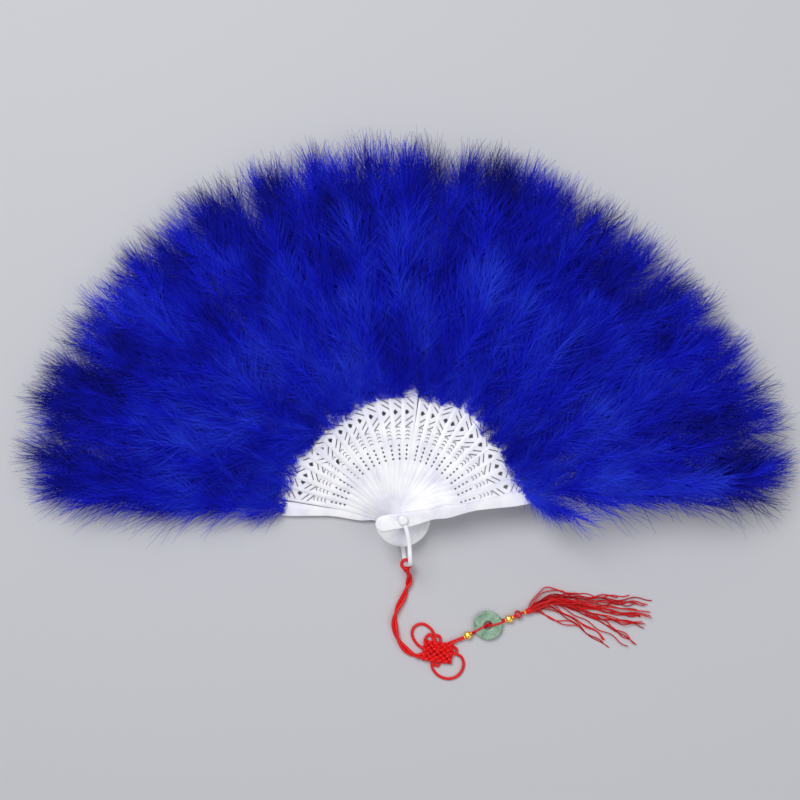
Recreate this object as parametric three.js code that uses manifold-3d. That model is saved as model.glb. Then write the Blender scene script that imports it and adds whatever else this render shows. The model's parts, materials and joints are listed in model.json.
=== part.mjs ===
// Feather fan with pierced ribs, lying open and flat. Millimetres, +Z up.
// The pivot pin stands on the Z axis, Z 0 is the surface that the fan lies on, and it opens towards +Y.
// The rear guard is the lowest stave, at the left, and the front guard is the highest, at the right.
import * as THREE from 'three';
import { mergeVertices } from 'three/addons/utils/BufferGeometryUtils.js';
import Module from 'manifold-3d';

const wasm = await Module();
wasm.setup();

// Angle of each stave from +X in degrees, from the rear guard to the front guard
const staveAngles = [
  175.6, 167.5, 161.25, 155.6, 148.75, 143.4, 138.75, 132.1, 125, 118.75, 113.1, 106.6, 99.4, 93.1,
  86.9, 78.5, 73.1, 67.5, 61.5, 55.9, 49.75, 43.1, 36.9, 30.6, 24.4, 16.9, 10.5,
];
const turnedRibs = [1, 2, 5, 17, 22, 23]; // ribs whose piercing faces the other way
const rearEdgeAngle = 181; // where the feathers end past the rear guard
const frontEdgeAngle = 0.5; // and past the front guard

// Stack along the pin
const layerGap = 0.3; // between pieces that slide past or lie on each other
const pinHeadThickness = 1;
const bailThickness = 1.4;
const guardThickness = 1.6;
const ribThickness = 0.7;

// Pin and its cap
const shaftRadius = 1.25;
const pinHeadRadius = 3.5;
const pinHeadEdge = 0.3;
const capHeight = 1.7;
const capEdge = 0.6;
const capBoreDepth = 0.8;
const domeShares = [1, 0.9, 0.7, 0.4]; // radii of the cap's dome from its edge, as shares of its radius

// Stave outlines
const tailLength = 19.6; // pivot to the round end behind it
const headWidth = 11;
const headLength = 8;
const neckWidth = 7.4;
const neckLength = 42;
const shoulderWidth = 12;
const shoulderLength = 90;
const shoulderRun = 4.5; // length over which a stave narrows to its stick
const stickWidth = 4;
const stickLength = 200;
const stickTipWidth = 1.6;
const guardWidth = 10;
const guardEdge = 0.35; // rounding of the guards' edges
// Side of a guard, as shares of its half width and of the shoulder's reach
const guardSideShares = [[1.04, 0.09], [0.72, 0.23], [0.9, 0.35], [0.58, 0.57], [1, 0.86], [1, 1]];

// Piercing of a rib, placed along its middle line, back from its shoulder
const dotCount = 4;
const dotInset = 47.7;
const dotPitch = 3.1;
const dotWidth = 1.7;
const dotLength = 2;
const chevronCount = 4;
const chevronInset = 34.4;
const chevronPitch = 2.65;
const chevronWidth = 2.9;
const chevronRise = 0.9;
const chevronStroke = 0.6;
const lozengeInset = 15; // centre of the half lozenge
const eyeWidth = 3.1; // its dark core
const eyeLength = 3.8;
const eyeOffset = -0.9;
const slashLeft = -1.9;
const slashRight = 3.2;
const slashRise = 4.2;
const slashStroke = 0.9;
const slashPitch = 3.9;
const slashGap = 1.8; // from the eye's middle line to the tip of the first slash
// Outline of the eye as shares of half its width and half its length
const eyeShares = [[-1, -0.45], [-0.3, -1], [1, 0], [-0.3, 1], [-1, 0.45]];

// Feathers
const plumeLength = 258;
const plumeGap = 2.5; // from the end of a stave's shoulder to its feathers
const plumeRise = 20; // crown of the feathers above their stave
const edgeCrownShare = 0.64; // crown of the fan's two outer edges, of the crown beside them
const lobeDepth = 5; // how far the feathers reach out and draw in, on a stave and between two
const lobeRise = 1.5; // how far their crown swells on a stave and sinks between two
const endRoundShare = 0.82; // reach of the outermost feathers
// Section of the feathers from the ribs outwards: share of their length, share of their crown's height
const plumeUnderShares = [[0, 0.2], [0.1, 0], [0.86, 0], [1, 0.22]];
const plumeOverShares = [[0.97, 0.42], [0.85, 0.72], [0.6, 0.92], [0.35, 1], [0.12, 0.74], [0, 0.5]];

// Bail and the hitch on it
const bailLength = 32.2;
const bailWidth = 3;
const bailCorner = 6;
const bailBow = 2.6; // how far each leg bows to its side
const bailEyeRadius = 3.4;
const bailAngle = -84.1;
const hitchPitch = 1.9;
// A leg's bow from its eye, as shares of its length and of its most bow, and its bow round the corner
const legShares = [[0, 0], [0.3, 0.72], [0.62, 1], [0.85, 0.92]];
const cornerShares = [0.84, 0.73, 0.6];

// Cords, with the routes' points chosen by hand
const floorGap = 0.2;
const upperCord = 2.3;
const upperTwists = 3;
const upperRoute = [
  [1.9, -35, 9.4], [2.9, -38, 8.6], [4.4, -42, 5.4], [4, -46.5, 3.2], [2.8, -50, 2.8], [0.3, -56.8, 2.8],
  [-3.8, -64.3, 2.8], [-6, -71.8, 2.8], [-5.7, -78.7, 2.8], [-3.5, -86.2, 2.8], [0.3, -91.8, 2.8],
  [5.3, -96.2, 2.8], [10.3, -98.2, 2.8], [15.5, -97.6, 2.8],
];
const lowerCord = 1.3;
const lowerRoute = [
  [27, -92.6], [32, -89.6], [38, -87.2], [43.2, -85.1], [46.1, -83.6], [48.9, -82.2], [50.9, -81.2],
  [52.6, -80.4], [55.2, -79], [57.6, -77.7], [60.3, -76.4], [63.2, -75.6], [65.8, -74.9], [68.4, -74.1],
  [70.3, -73.5], [72.5, -72.9], [75.4, -72], [78.2, -70.6], [80.6, -69.4],
];
// How many of that route's points lie before each piece that is threaded on it
const beadPointCount = 4;
const discPointCount = 10;
const secondBeadPointCount = 16;
// Height of each lower strand along that route: 0 on the floor, 1 in the beads' bores, 2 over the disc
const strandOverLevels = [1, 1, 1, 1, 1, 1.12, 1.8, 2, 2, 2, 1.02, 0, 0, 0, 0.12, 0.85, 1, 1.1, 1.2];
const strandUnderLevels = [1, 1, 1, 1, 1, 0.88, 0.15, 0, 0, 0, 1.02, 2, 2, 2, 1.85, 1.15, 1, 1.1, 1.2];

// What is threaded on the cord
const beadLength = 6.8;
const beadRadius = 2.7;
const beadBore = 2;
const discRadius = 10.3;
const discBore = 3.1;
const discThickness = 2.6;
const discEdge = 1;
const redBeadRadius = 3.2;
const endBeadRadius = 1.95;
const endBeadLength = 2.6;
const endBeadBore = 1.2;
// Bulge of each bead: share of its length from its middle, share of its wall's thickness
const goldBeadShares = [[-0.5, 0.45], [-0.28, 0.94], [0, 1], [0.28, 0.94], [0.5, 0.45]];
const endBeadShares = [[-0.5, 0.5], [0, 1], [0.5, 0.5]];
const roundShares = [-0.4, -0.22, 0, 0.22, 0.4]; // places along the red bead, which is round
const neckRadius = 0.9;
const redBeadPlace = [81.6, -68.8];
const endBeadPlace = [86.5, -67.1];
const tasselPlace = [88.9, -66.3];
const tasselHeadRadius = 2.1;
const headShare = 0.9; // of that radius, from the neck's end to the head's centre
const lockRadius = 1.3;
const lockRoutes = [
  [[95, -61.5, 3], [107, -55.5, 2.2], [121, -56, 1.8], [138, -56.6, 1.6], [156.8, -56.7, 1.6]],
  [[95, -62, 4], [107, -56.8, 4.6], [123, -58, 3.6], [148, -58.6, 2], [172.9, -59.5, 1.6]],
  [[95, -62.4, 4.6], [107, -57.6, 5.6], [125, -60.5, 4.6], [150, -64, 2.6], [175.2, -67.2, 1.6]],
  [[95, -62.8, 3], [106, -58, 2.6], [124, -62.8, 2], [147, -68.5, 1.8], [167.3, -71.8, 1.6]],
  [[95, -63.2, 3.6], [106, -59.4, 4.2], [122, -64.8, 4], [145, -72.6, 3], [170.8, -77.9, 1.6]],
  [[95, -63.6, 2.4], [105, -60.2, 1.8], [120, -67, 1.6], [142, -77, 1.6], [165.2, -92, 1.6]],
  [[95, -64, 3], [104, -61.8, 3.4], [118, -69.6, 2.4], [132, -79, 1.6], [147.5, -89.6, 1.6]],
  [[93, -60.5, 2.6], [101.5, -50.5, 1.6], [112, -50, 1.6], [121.1, -52, 1.6], [133, -55.2, 1.6]],
  [[95, -67, 2], [105.7, -73.4, 1.6], [116, -78, 1.6], [125.3, -80.2, 1.6]],
];

// Knot: a tight woven body and the loops of cord that stand out of it
const knotPlace = [24.6, -95.4];
const knotHalfLength = 11;
const knotHalfWidth = 7.6;
const knotHalfHeight = 2.6;
const knotAngle = -8;
const knotLoops = [
  [[17, -94], [13, -92.3], [9, -88.7], [6.5, -83.1], [7.8, -78.1], [12.8, -75.6], [17.8, -77.4], [22, -82.6],
    [23, -91]],
  [[19, -94], [15.9, -90], [15.9, -86.2], [19.2, -83], [21.3, -86.2], [21.4, -92]],
  [[21.4, -92], [21.8, -87], [23.4, -83.8], [26, -84.6], [26.6, -88.1], [25, -94]],
  [[22, -98], [20.6, -102.5], [20.9, -106.8], [24.6, -111.8], [30.9, -114.5], [37.2, -113.4], [41.5, -109.3],
    [43, -103.7], [41.2, -98.9], [37.2, -96.9], [29, -96.4]],
  [[22.6, -99], [21.9, -104], [24.6, -105.4], [26.4, -102.4], [26.4, -98]],
  [[29, -93.5], [34.7, -91.8], [38, -93.4], [37.6, -96.2], [30, -97]],
];

// Sides round a section, and steps along a curve
const boreSideCount = 8;
const turnedSideCount = 12;
const eyeSideCount = 16;
const discSideCount = 24;
const strandSideCount = 8;
const loopSideCount = 6;
const lockSideCount = 4;
const ballSideCount = 12;
const ballRingCount = 8;
const outlineStepCount = 3;
const bailStepCount = 22;
const strandStepCount = 22;
const turnStepCount = 12;
const loopStepCount = 3; // beyond one for each of its points
const neckStepCount = 3;
const lockStepCount = 8;

const plastic = new THREE.MeshStandardMaterial({ color: 0xf4f3f6, roughness: 0.32, metalness: 0 });
const feather = new THREE.MeshStandardMaterial({ color: 0x1418b4, roughness: 0.9, metalness: 0 });
const redCord = new THREE.MeshStandardMaterial({ color: 0xd80f16, roughness: 0.6, metalness: 0 });
const redGlaze = new THREE.MeshStandardMaterial({ color: 0xc80a12, roughness: 0.25, metalness: 0 });
const gold = new THREE.MeshStandardMaterial({ color: 0xd9a632, roughness: 0.25, metalness: 1 });
const jade = new THREE.MeshStandardMaterial({ color: 0x9fc4a2, roughness: 0.25, metalness: 0 });
const halvingCount = 20; // tries at finding a height on the bail
const degree = Math.PI / 180;
const up = new THREE.Vector3(0, 0, 1);

// Heights of the layers
const staveCount = staveAngles.length;
const rearLegZ = pinHeadThickness + layerGap;
const rearGuardZ = rearLegZ + bailThickness + layerGap;
const firstRibZ = rearGuardZ + guardThickness + layerGap;
const frontGuardZ = firstRibZ + (staveCount - 2) * (ribThickness + layerGap);
const frontLegZ = frontGuardZ + guardThickness + layerGap;
const capZ = frontLegZ + bailThickness + layerGap;
const isGuard = (i) => i === 0 || i === staveCount - 1;
const staveThickness = (i) => (isGuard(i) ? guardThickness : ribThickness);
const boreRadius = shaftRadius + layerGap;

function staveZ(i) {
  if (i === 0) return rearGuardZ;
  return i === staveCount - 1 ? frontGuardZ : firstRibZ + (i - 1) * (ribThickness + layerGap);
}

// A mesh's geometry as a solid, its doubled points merged and its flat triangles left out
function solidOf(geometry) {
  const bare = geometry.clone();
  bare.deleteAttribute('normal');
  bare.deleteAttribute('uv');
  const merged = mergeVertices(bare);
  const corners = Array.from(merged.index.array);
  const kept = [];
  for (let i = 0; i < corners.length; i += 3) {
    const [a, b, c] = corners.slice(i, i + 3);
    if (a !== b && b !== c && c !== a) kept.push(a, b, c);
  }
  const vertProperties = new Float32Array(merged.attributes.position.array);
  return new wasm.Manifold(new wasm.Mesh({ numProp: 3, vertProperties, triVerts: new Uint32Array(kept) }));
}

function geometryOf(solid) {
  const { vertProperties, triVerts } = solid.getMesh();
  const geometry = new THREE.BufferGeometry();
  geometry.setAttribute('position', new THREE.BufferAttribute(new Float32Array(vertProperties), 3));
  geometry.setIndex(new THREE.BufferAttribute(new Uint32Array(triVerts), 1));
  geometry.computeVertexNormals();
  return geometry;
}

const joined = (geometries) => geometries.map(solidOf).reduce((sum, next) => sum.add(next));

// What is left of a strand once its ends are cut to meet their neighbours
function cutStrand(strand, radius, clear) {
  const whole = solidOf(tube(strand, radius, radius, strandSideCount, strandStepCount));
  const pieces = whole.subtract(clear).decompose();
  return geometryOf(pieces.reduce((most, next) => (next.volume() > most.volume() ? next : most)));
}

function named(name, geometry, material) {
  const mesh = new THREE.Mesh(geometry, material);
  mesh.name = name;
  return mesh;
}

// A flat-sided circle of points whose flats lie at the radius
function ringPoints(radius, sides) {
  const corner = radius / Math.cos(Math.PI / sides);
  return Array.from({ length: sides }, (_, k) => {
    const a = ((k + 0.5) / sides) * 2 * Math.PI;
    return new THREE.Vector2(corner * Math.cos(a), corner * Math.sin(a));
  });
}

const ovalShape = (halfX, halfY, sides) => new THREE.Shape(
  ringPoints(Math.cos(Math.PI / sides), sides).map((p) => new THREE.Vector2(p.x * halfX, p.y * halfY)),
);

function tube(curve, halfX, halfY, sides, steps) {
  return new THREE.ExtrudeGeometry(ovalShape(halfX, halfY, sides), { steps, extrudePath: curve });
}

// A turned piece about the Z axis from points of radius and height
function turned(profile, segments) {
  const points = profile.map(([radius, z]) => new THREE.Vector2(radius, z));
  return new THREE.LatheGeometry(points, segments).rotateX(Math.PI / 2);
}

const curveThrough = (points) => new THREE.CatmullRomCurve3(
  points.map(([x, y, z]) => new THREE.Vector3(x, y, z)), false, 'centripetal',
);

// Ribs and guards
const mirrored = (points) => points.map(([x, y]) => [-x, y]).reverse();

function pierce(shape, points, turn) {
  const hole = (turn ? mirrored(points) : points).map(([x, y]) => new THREE.Vector2(x, y));
  shape.holes.push(new THREE.Path(hole));
}

function startStave(width) {
  const shape = new THREE.Shape();
  const tailCentre = width / 2 - tailLength;
  shape.absarc(0, tailCentre, width / 2, Math.PI, 2 * Math.PI);
  shape.holes.push(new THREE.Path(ringPoints(boreRadius, boreSideCount)));
  return shape;
}

// The stick under the feathers, from the right shoulder over the tip to the left one
function addStick(shape, halfShoulder) {
  const stickStart = shoulderLength + shoulderRun;
  shape.lineTo(stickWidth / 2, stickStart);
  shape.lineTo(stickWidth / 2, stickLength - stickWidth);
  shape.lineTo(stickTipWidth / 2, stickLength);
  shape.lineTo(-stickTipWidth / 2, stickLength);
  shape.lineTo(-stickWidth / 2, stickLength - stickWidth);
  shape.lineTo(-stickWidth / 2, stickStart);
  shape.lineTo(-halfShoulder, shoulderLength);
}

function dot(centre) {
  const [across, along] = [dotWidth / 2, dotLength / 2];
  return [[0, centre - along], [across, centre], [0, centre + along], [-across, centre]];
}

function chevron(foot) {
  const tip = foot + chevronRise;
  const half = chevronWidth / 2;
  return [
    [-half, foot], [0, tip], [half, foot], [half, foot + chevronStroke], [0, tip + chevronStroke],
    [-half, foot + chevronStroke],
  ];
}

// A slash that starts at the left at one reach and ends at the right at another
function slash(leftReach, rightReach) {
  return [
    [slashLeft, leftReach], [slashRight, rightReach], [slashRight, rightReach + slashStroke],
    [slashLeft, leftReach + slashStroke],
  ];
}

function addPiercing(shape, turn) {
  const firstDot = shoulderLength - dotInset;
  for (let k = 0; k < dotCount; k += 1) pierce(shape, dot(firstDot + k * dotPitch), turn);
  const firstChevron = shoulderLength - chevronInset;
  for (let k = 0; k < chevronCount; k += 1) pierce(shape, chevron(firstChevron + k * chevronPitch), turn);
  const centre = shoulderLength - lozengeInset;
  const eye = eyeShares.map(([x, y]) => [eyeOffset + (x * eyeWidth) / 2, centre + (y * eyeLength) / 2]);
  pierce(shape, eye, turn);
  for (const k of [0, 1]) {
    const near = slashGap + k * slashPitch;
    pierce(shape, slash(centre + near + slashRise, centre + near), turn);
    const low = centre - near - slashStroke;
    pierce(shape, slash(low - slashRise, low), turn);
  }
}

function ribShape(turn) {
  const shape = startStave(headWidth);
  const middle = (headLength + neckLength) / 2;
  shape.lineTo(headWidth / 2, headLength);
  shape.bezierCurveTo(headWidth / 2, middle, neckWidth / 2, middle, neckWidth / 2, neckLength);
  shape.lineTo(shoulderWidth / 2, shoulderLength);
  addStick(shape, shoulderWidth / 2);
  shape.lineTo(-neckWidth / 2, neckLength);
  shape.bezierCurveTo(-neckWidth / 2, middle, -headWidth / 2, middle, -headWidth / 2, headLength);
  addPiercing(shape, turn);
  return shape;
}

function guardShape() {
  const shape = startStave(headWidth);
  const side = guardSideShares.map(([x, y]) => new THREE.Vector2((x * guardWidth) / 2, y * shoulderLength));
  shape.lineTo(headWidth / 2, 0);
  shape.splineThru(side);
  addStick(shape, guardWidth / 2);
  shape.splineThru(side.slice(0, -1).reverse().map((p) => new THREE.Vector2(-p.x, p.y)));
  shape.lineTo(-headWidth / 2, 0);
  return shape;
}

function stave(i) {
  const last = staveCount - 1;
  let geometry;
  if (isGuard(i)) {
    geometry = new THREE.ExtrudeGeometry(guardShape(), {
      depth: guardThickness - 2 * guardEdge, curveSegments: outlineStepCount, bevelSegments: 1,
      bevelThickness: guardEdge, bevelSize: guardEdge, bevelOffset: -guardEdge,
    }).translate(0, 0, guardEdge);
  } else {
    geometry = new THREE.ExtrudeGeometry(ribShape(turnedRibs.includes(i)), {
      depth: ribThickness, curveSegments: outlineStepCount, bevelEnabled: false,
    });
  }
  const name = { 0: 'rear_guard', [last]: 'front_guard' }[i] ?? `rib_${String(i).padStart(2, '0')}`;
  const mesh = named(name, geometry, plastic);
  mesh.rotation.z = (staveAngles[i] - 90) * degree;
  mesh.position.z = staveZ(i);
  return mesh;
}

// Pin with its rear head, and the cap that closes its front end
function pivotPin() {
  const top = capZ + capBoreDepth - layerGap;
  const profile = [
    [0, 0], [pinHeadRadius, 0], [pinHeadRadius, pinHeadThickness - pinHeadEdge],
    [pinHeadRadius - pinHeadEdge, pinHeadThickness], [shaftRadius, pinHeadThickness], [shaftRadius, top],
    [0, top],
  ];
  return named('pivot_pin', turned(profile, turnedSideCount), plastic);
}

function pinCap() {
  const dome = domeShares.map((share) => {
    const rise = (capHeight - capEdge) * Math.sqrt(1 - share * share);
    return [pinHeadRadius * share, capZ + capEdge + rise];
  });
  const profile = [
    [0, capZ + capBoreDepth], [boreRadius, capZ + capBoreDepth], [boreRadius, capZ], [pinHeadRadius, capZ],
    ...dome,
    [0, capZ + capHeight],
  ];
  return named('pin_cap', turned(profile, turnedSideCount), plastic);
}

// Bail: a bowed strap from an eye under the stack, round the outside of the staves' tails, to the upper eye
const rearLegMiddle = rearLegZ + bailThickness / 2;
const frontLegMiddle = frontLegZ + bailThickness / 2;

function bailCurve() {
  const points = [];
  const straight = bailLength - bailCorner;
  legShares.forEach(([along, side]) => points.push([along * straight, -side * bailBow, rearLegMiddle]));
  cornerShares.forEach((side, k) => {
    const a = (k * Math.PI) / 4;
    points.push([
      straight + bailCorner * Math.sin(a), -side * bailBow, rearLegMiddle + bailCorner * (1 - Math.cos(a)),
    ]);
  });
  const half = points.slice().reverse();
  half.forEach(([along, side, z]) => points.push([along, -side, frontLegMiddle + rearLegMiddle - z]));
  return curveThrough(points);
}

function bail() {
  const strap = tube(bailCurve(), bailThickness / 2, bailWidth / 2, strandSideCount, bailStepCount);
  const eyes = [rearLegZ, frontLegZ].map((z) => turned([
    [0, z], [bailEyeRadius, z], [bailEyeRadius, z + bailThickness], [0, z + bailThickness],
  ], eyeSideCount));
  const bore = new THREE.ExtrudeGeometry(new THREE.Shape(ringPoints(boreRadius, boreSideCount)), {
    depth: capZ, bevelEnabled: false,
  });
  const mesh = named('bail', geometryOf(joined([strap, ...eyes]).subtract(solidOf(bore))), plastic);
  mesh.rotation.z = bailAngle * degree;
  return mesh;
}

// Hitch: the cord's two turns round the lower end of the bail's bridge
const hitchRadius = bailWidth / 2 + layerGap + upperCord / 2;
const hitchZ = rearLegMiddle + bailCorner + upperCord / 2;

// The middle of the bail's strap at a height between its legs, found by halving its length again and again
function bridgeAt(z) {
  const curve = bailCurve();
  let [low, high] = [0, 1];
  for (let k = 0; k < halvingCount; k += 1) {
    const middle = (low + high) / 2;
    [low, high] = curve.getPoint(middle).z < z ? [middle, high] : [low, middle];
  }
  return curve.getPoint(low);
}

function hitchTurns(extra) {
  const turns = [0, 1].map((k) => {
    const z = hitchZ + k * hitchPitch;
    const { x, y } = bridgeAt(z);
    return new THREE.TorusGeometry(
      hitchRadius, upperCord / 2 + extra, loopSideCount, turnStepCount,
    ).translate(x, y, z);
  });
  return joined(turns.map((turn) => turn.rotateZ(bailAngle * degree)));
}

const cordHitch = () => named('cord_hitch', geometryOf(hitchTurns(0)), redCord);

// A strand that goes along a route beside its twin, turning round it if it has twists
class LaidStrand extends THREE.Curve {
  constructor(route, offset, twists, phase) {
    super();
    Object.assign(this, { route, offset, twists, phase });
  }

  getPoint(t, target = new THREE.Vector3()) {
    const along = this.route.getTangent(t);
    const side = new THREE.Vector3().crossVectors(up, along).normalize();
    const rise = new THREE.Vector3().crossVectors(along, side);
    const a = this.phase + this.twists * t * 2 * Math.PI;
    target.copy(this.route.getPoint(t)).addScaledVector(side, this.offset * Math.cos(a));
    return target.addScaledVector(rise, this.offset * Math.sin(a));
  }
}

const knotRound = (extra) => {
  const sphere = new THREE.SphereGeometry(1, ballSideCount, ballRingCount).rotateX(Math.PI / 2);
  const sizes = [knotHalfLength, knotHalfWidth, knotHalfHeight].map((half) => half + extra);
  return sphere.scale(...sizes).rotateZ(knotAngle * degree)
    .translate(...knotPlace, floorGap + knotHalfHeight);
};

// The two strands from the hitch to the knot
function upperStrands() {
  const route = curveThrough(upperRoute);
  const offset = upperCord / 2 + layerGap;
  const clear = hitchTurns(layerGap).add(solidOf(knotRound(layerGap)));
  return [0, 1].map((k) => {
    const strand = new LaidStrand(route, offset, upperTwists, k * Math.PI);
    return named(`upper_strand_${k + 1}`, cutStrand(strand, upperCord / 2, clear), redCord);
  });
}

function flowerKnot() {
  const radius = upperCord / 2;
  const z = floorGap + radius;
  const loops = knotLoops.map((points) => {
    const middle = curveThrough(points.map(([x, y]) => [x, y, z]));
    return tube(middle, radius, radius, loopSideCount, points.length + loopStepCount);
  });
  return named('flower_knot', geometryOf(joined([knotRound(0), ...loops])), redCord);
}

// The two strands from the knot through the beads and the disc, one over each half of the disc
const discZ = floorGap + lowerCord + layerGap;
const beadZ = floorGap + beadRadius;
const strandLevels = [
  floorGap + lowerCord / 2, beadZ, discZ + discThickness + layerGap + lowerCord / 2,
];

function levelHeight(level) {
  const floor = Math.min(Math.floor(level), 1);
  return THREE.MathUtils.lerp(strandLevels[floor], strandLevels[floor + 1], level - floor);
}

function lowerStrands() {
  const clear = solidOf(knotRound(layerGap));
  return [strandOverLevels, strandUnderLevels].map((levels, k) => {
    const route = curveThrough(lowerRoute.map(([x, y], i) => [x, y, levelHeight(levels[i])]));
    const offset = (lowerCord + layerGap) / 2;
    const strand = new LaidStrand(route, offset, 0, k * Math.PI);
    return named(`lower_strand_${k + 1}`, cutStrand(strand, lowerCord / 2, clear), redCord);
  });
}

// Beads and disc. A bead's axis lies along the cord.
function onCord(name, geometry, material, [x, y], z, [dx, dy]) {
  const mesh = named(name, geometry.rotateY(Math.PI / 2), material);
  mesh.position.set(x, y, z);
  mesh.rotation.z = Math.atan2(dy, dx);
  return mesh;
}

const between = (from, to) => [to[0] - from[0], to[1] - from[1]];

function beadProfile(length, radius, bore, bulgeShares) {
  const outside = bulgeShares.map(([along, out]) => [bore + (radius - bore) * out, along * length]);
  return [[bore, -length / 2], ...outside, [bore, length / 2], [bore, -length / 2]];
}

function goldBeads() {
  const profile = beadProfile(beadLength, beadRadius, beadBore, goldBeadShares);
  return [beadPointCount, secondBeadPointCount].map((place, k) => {
    const axis = between(lowerRoute[place - 1], lowerRoute[place + 1]);
    const bead = turned(profile, turnedSideCount);
    return onCord(`gold_bead_${k + 1}`, bead, gold, lowerRoute[place], beadZ, axis);
  });
}

function jadeDisc() {
  const half = discThickness / 2;
  const profile = [
    [discBore, 0], [discBore + discEdge, -half], [discRadius - discEdge, -half], [discRadius, -half / 2],
    [discRadius, half / 2], [discRadius - discEdge, half], [discBore + discEdge, half], [discBore, 0],
  ];
  const mesh = named('jade_disc', turned(profile, discSideCount), jade);
  mesh.position.set(...lowerRoute[discPointCount], discZ + half);
  return mesh;
}

function endBeads() {
  const axis = between(redBeadPlace, endBeadPlace);
  const round = roundShares.map((along) => [along, Math.sqrt(1 - (2 * along) ** 2)]);
  const red = turned(beadProfile(2 * redBeadRadius, redBeadRadius, beadBore, round), turnedSideCount);
  const small = turned(
    beadProfile(endBeadLength, endBeadRadius, endBeadBore, endBeadShares), turnedSideCount,
  );
  return [
    onCord('red_bead', red, redGlaze, redBeadPlace, floorGap + redBeadRadius, axis),
    onCord('end_bead', small, gold, endBeadPlace, floorGap + redBeadRadius, axis),
  ];
}

// Tassel: a neck through the end bead, a small head, and the locks of thread that spread from it
function tassel() {
  const z = floorGap + redBeadRadius;
  const neck = tube(curveThrough([[...redBeadPlace, z], [...endBeadPlace, z], [...tasselPlace, z]]),
    neckRadius, neckRadius, strandSideCount, neckStepCount);
  const head = new THREE.SphereGeometry(tasselHeadRadius, ballSideCount, ballRingCount)
    .translate(...tasselPlace, z);
  const [dx, dy] = between(endBeadPlace, tasselPlace);
  const away = (headShare * tasselHeadRadius) / Math.hypot(dx, dy);
  head.translate(dx * away, dy * away, 0);
  const start = [tasselPlace[0] + dx * away, tasselPlace[1] + dy * away, z];
  const locks = lockRoutes.map((route) => tube(
    curveThrough([start, ...route]), lockRadius, lockRadius, lockSideCount, lockStepCount,
  ));
  return named('tassel', geometryOf(joined([neck, head, ...locks])), redCord);
}

// Feathers: one solid for each two staves, a loft of sections from edge to edge with slots for its sticks
function plumeSection(angle, reach, crown, shift) {
  const start = shoulderLength + shoulderRun + plumeGap;
  const along = new THREE.Vector3(Math.cos(angle), Math.sin(angle), 0);
  const side = new THREE.Vector3().crossVectors(up, along);
  return [...plumeUnderShares, ...plumeOverShares].map(([share, height]) => new THREE.Vector3()
    .addScaledVector(along, start + share * (reach - start))
    .addScaledVector(side, shift).setZ(height * crown));
}

function loft(sections) {
  const count = sections[0].length;
  const at = (section, k) => section * count + (k % count);
  const corners = [];
  for (let s = 0; s + 1 < sections.length; s += 1) {
    for (let k = 0; k < count; k += 1) {
      corners.push(at(s, k), at(s + 1, k + 1), at(s + 1, k), at(s, k), at(s, k + 1), at(s + 1, k + 1));
    }
  }
  const last = sections.length - 1;
  // Each end is a strip between the section's under side and its upper side
  for (let low = 0, high = count - 1; high - low > 1;) {
    const next = low + 1 < high - 1 ? [low + 1, high - 1] : [low + 1, high];
    corners.push(at(0, low), at(0, high), at(0, next[0]), at(last, low), at(last, next[0]), at(last, high));
    if (next[1] !== high) {
      corners.push(at(0, next[0]), at(0, high), at(0, next[1]));
      corners.push(at(last, next[0]), at(last, next[1]), at(last, high));
    }
    [low, high] = next;
  }
  const geometry = new THREE.BufferGeometry();
  geometry.setAttribute('position', new THREE.BufferAttribute(
    new Float32Array(sections.flat().flatMap((p) => p.toArray())), 3,
  ));
  geometry.setIndex(corners);
  return geometry;
}

function stickSlot(i) {
  const length = stickLength + layerGap - shoulderLength;
  const slot = new THREE.BoxGeometry(stickWidth + 2 * layerGap, length, staveThickness(i) + 2 * layerGap);
  slot.translate(0, shoulderLength + length / 2, staveZ(i) + staveThickness(i) / 2);
  return solidOf(slot.rotateZ((staveAngles[i] - 90) * degree));
}

function plume(first, name) {
  const staves = first === staveCount - 1 ? [first] : [first, first + 1];
  const end = staves.at(-1);
  const middle = (a, b) => (staveAngles[a] + staveAngles[b]) / 2;
  const from = first === 0 ? rearEdgeAngle : middle(first - 1, first);
  const to = end === staveCount - 1 ? frontEdgeAngle : middle(end, end + 1);
  const stations = [from];
  staves.forEach((i) => stations.push(staveAngles[i], i === end ? to : middle(i, i + 1)));
  const sections = stations.map((angle, k) => {
    const lobe = k % 2 ? 1 : -1;
    const outermost = angle === rearEdgeAngle || angle === frontEdgeAngle;
    const reach = outermost ? plumeLength * endRoundShare : plumeLength + lobe * lobeDepth;
    const crown = (staveZ(first) + plumeRise + lobe * lobeRise) * (outermost ? edgeCrownShare : 1);
    const shift = { 0: -layerGap / 2, [stations.length - 1]: layerGap / 2 }[k] ?? 0;
    return plumeSection(angle * degree, reach, crown, shift);
  });
  const solid = staves.reduce((sum, i) => sum.subtract(stickSlot(i)), solidOf(loft(sections)));
  return named(name, geometryOf(solid), feather);
}

const fan = new THREE.Group();
for (let i = 0; i < staveCount; i += 1) fan.add(stave(i));
for (let i = 0; i < staveCount; i += 2) fan.add(plume(i, `plume_${String(i / 2 + 1).padStart(2, '0')}`));
fan.add(pivotPin(), pinCap(), bail(), cordHitch(), ...upperStrands(), flowerKnot(), ...lowerStrands());
fan.add(...goldBeads(), jadeDisc(), ...endBeads(), tassel());

export default fan;
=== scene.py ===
# Feather fan: its finishes, feathers, cords, beads and tassel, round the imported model.
# Metres, +Z up. The pivot pin stands on the Z axis and the fan opens towards +Y.
import json
import math

import bmesh
import bpy
import numpy as np
from mathutils import Matrix, Vector


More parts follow.
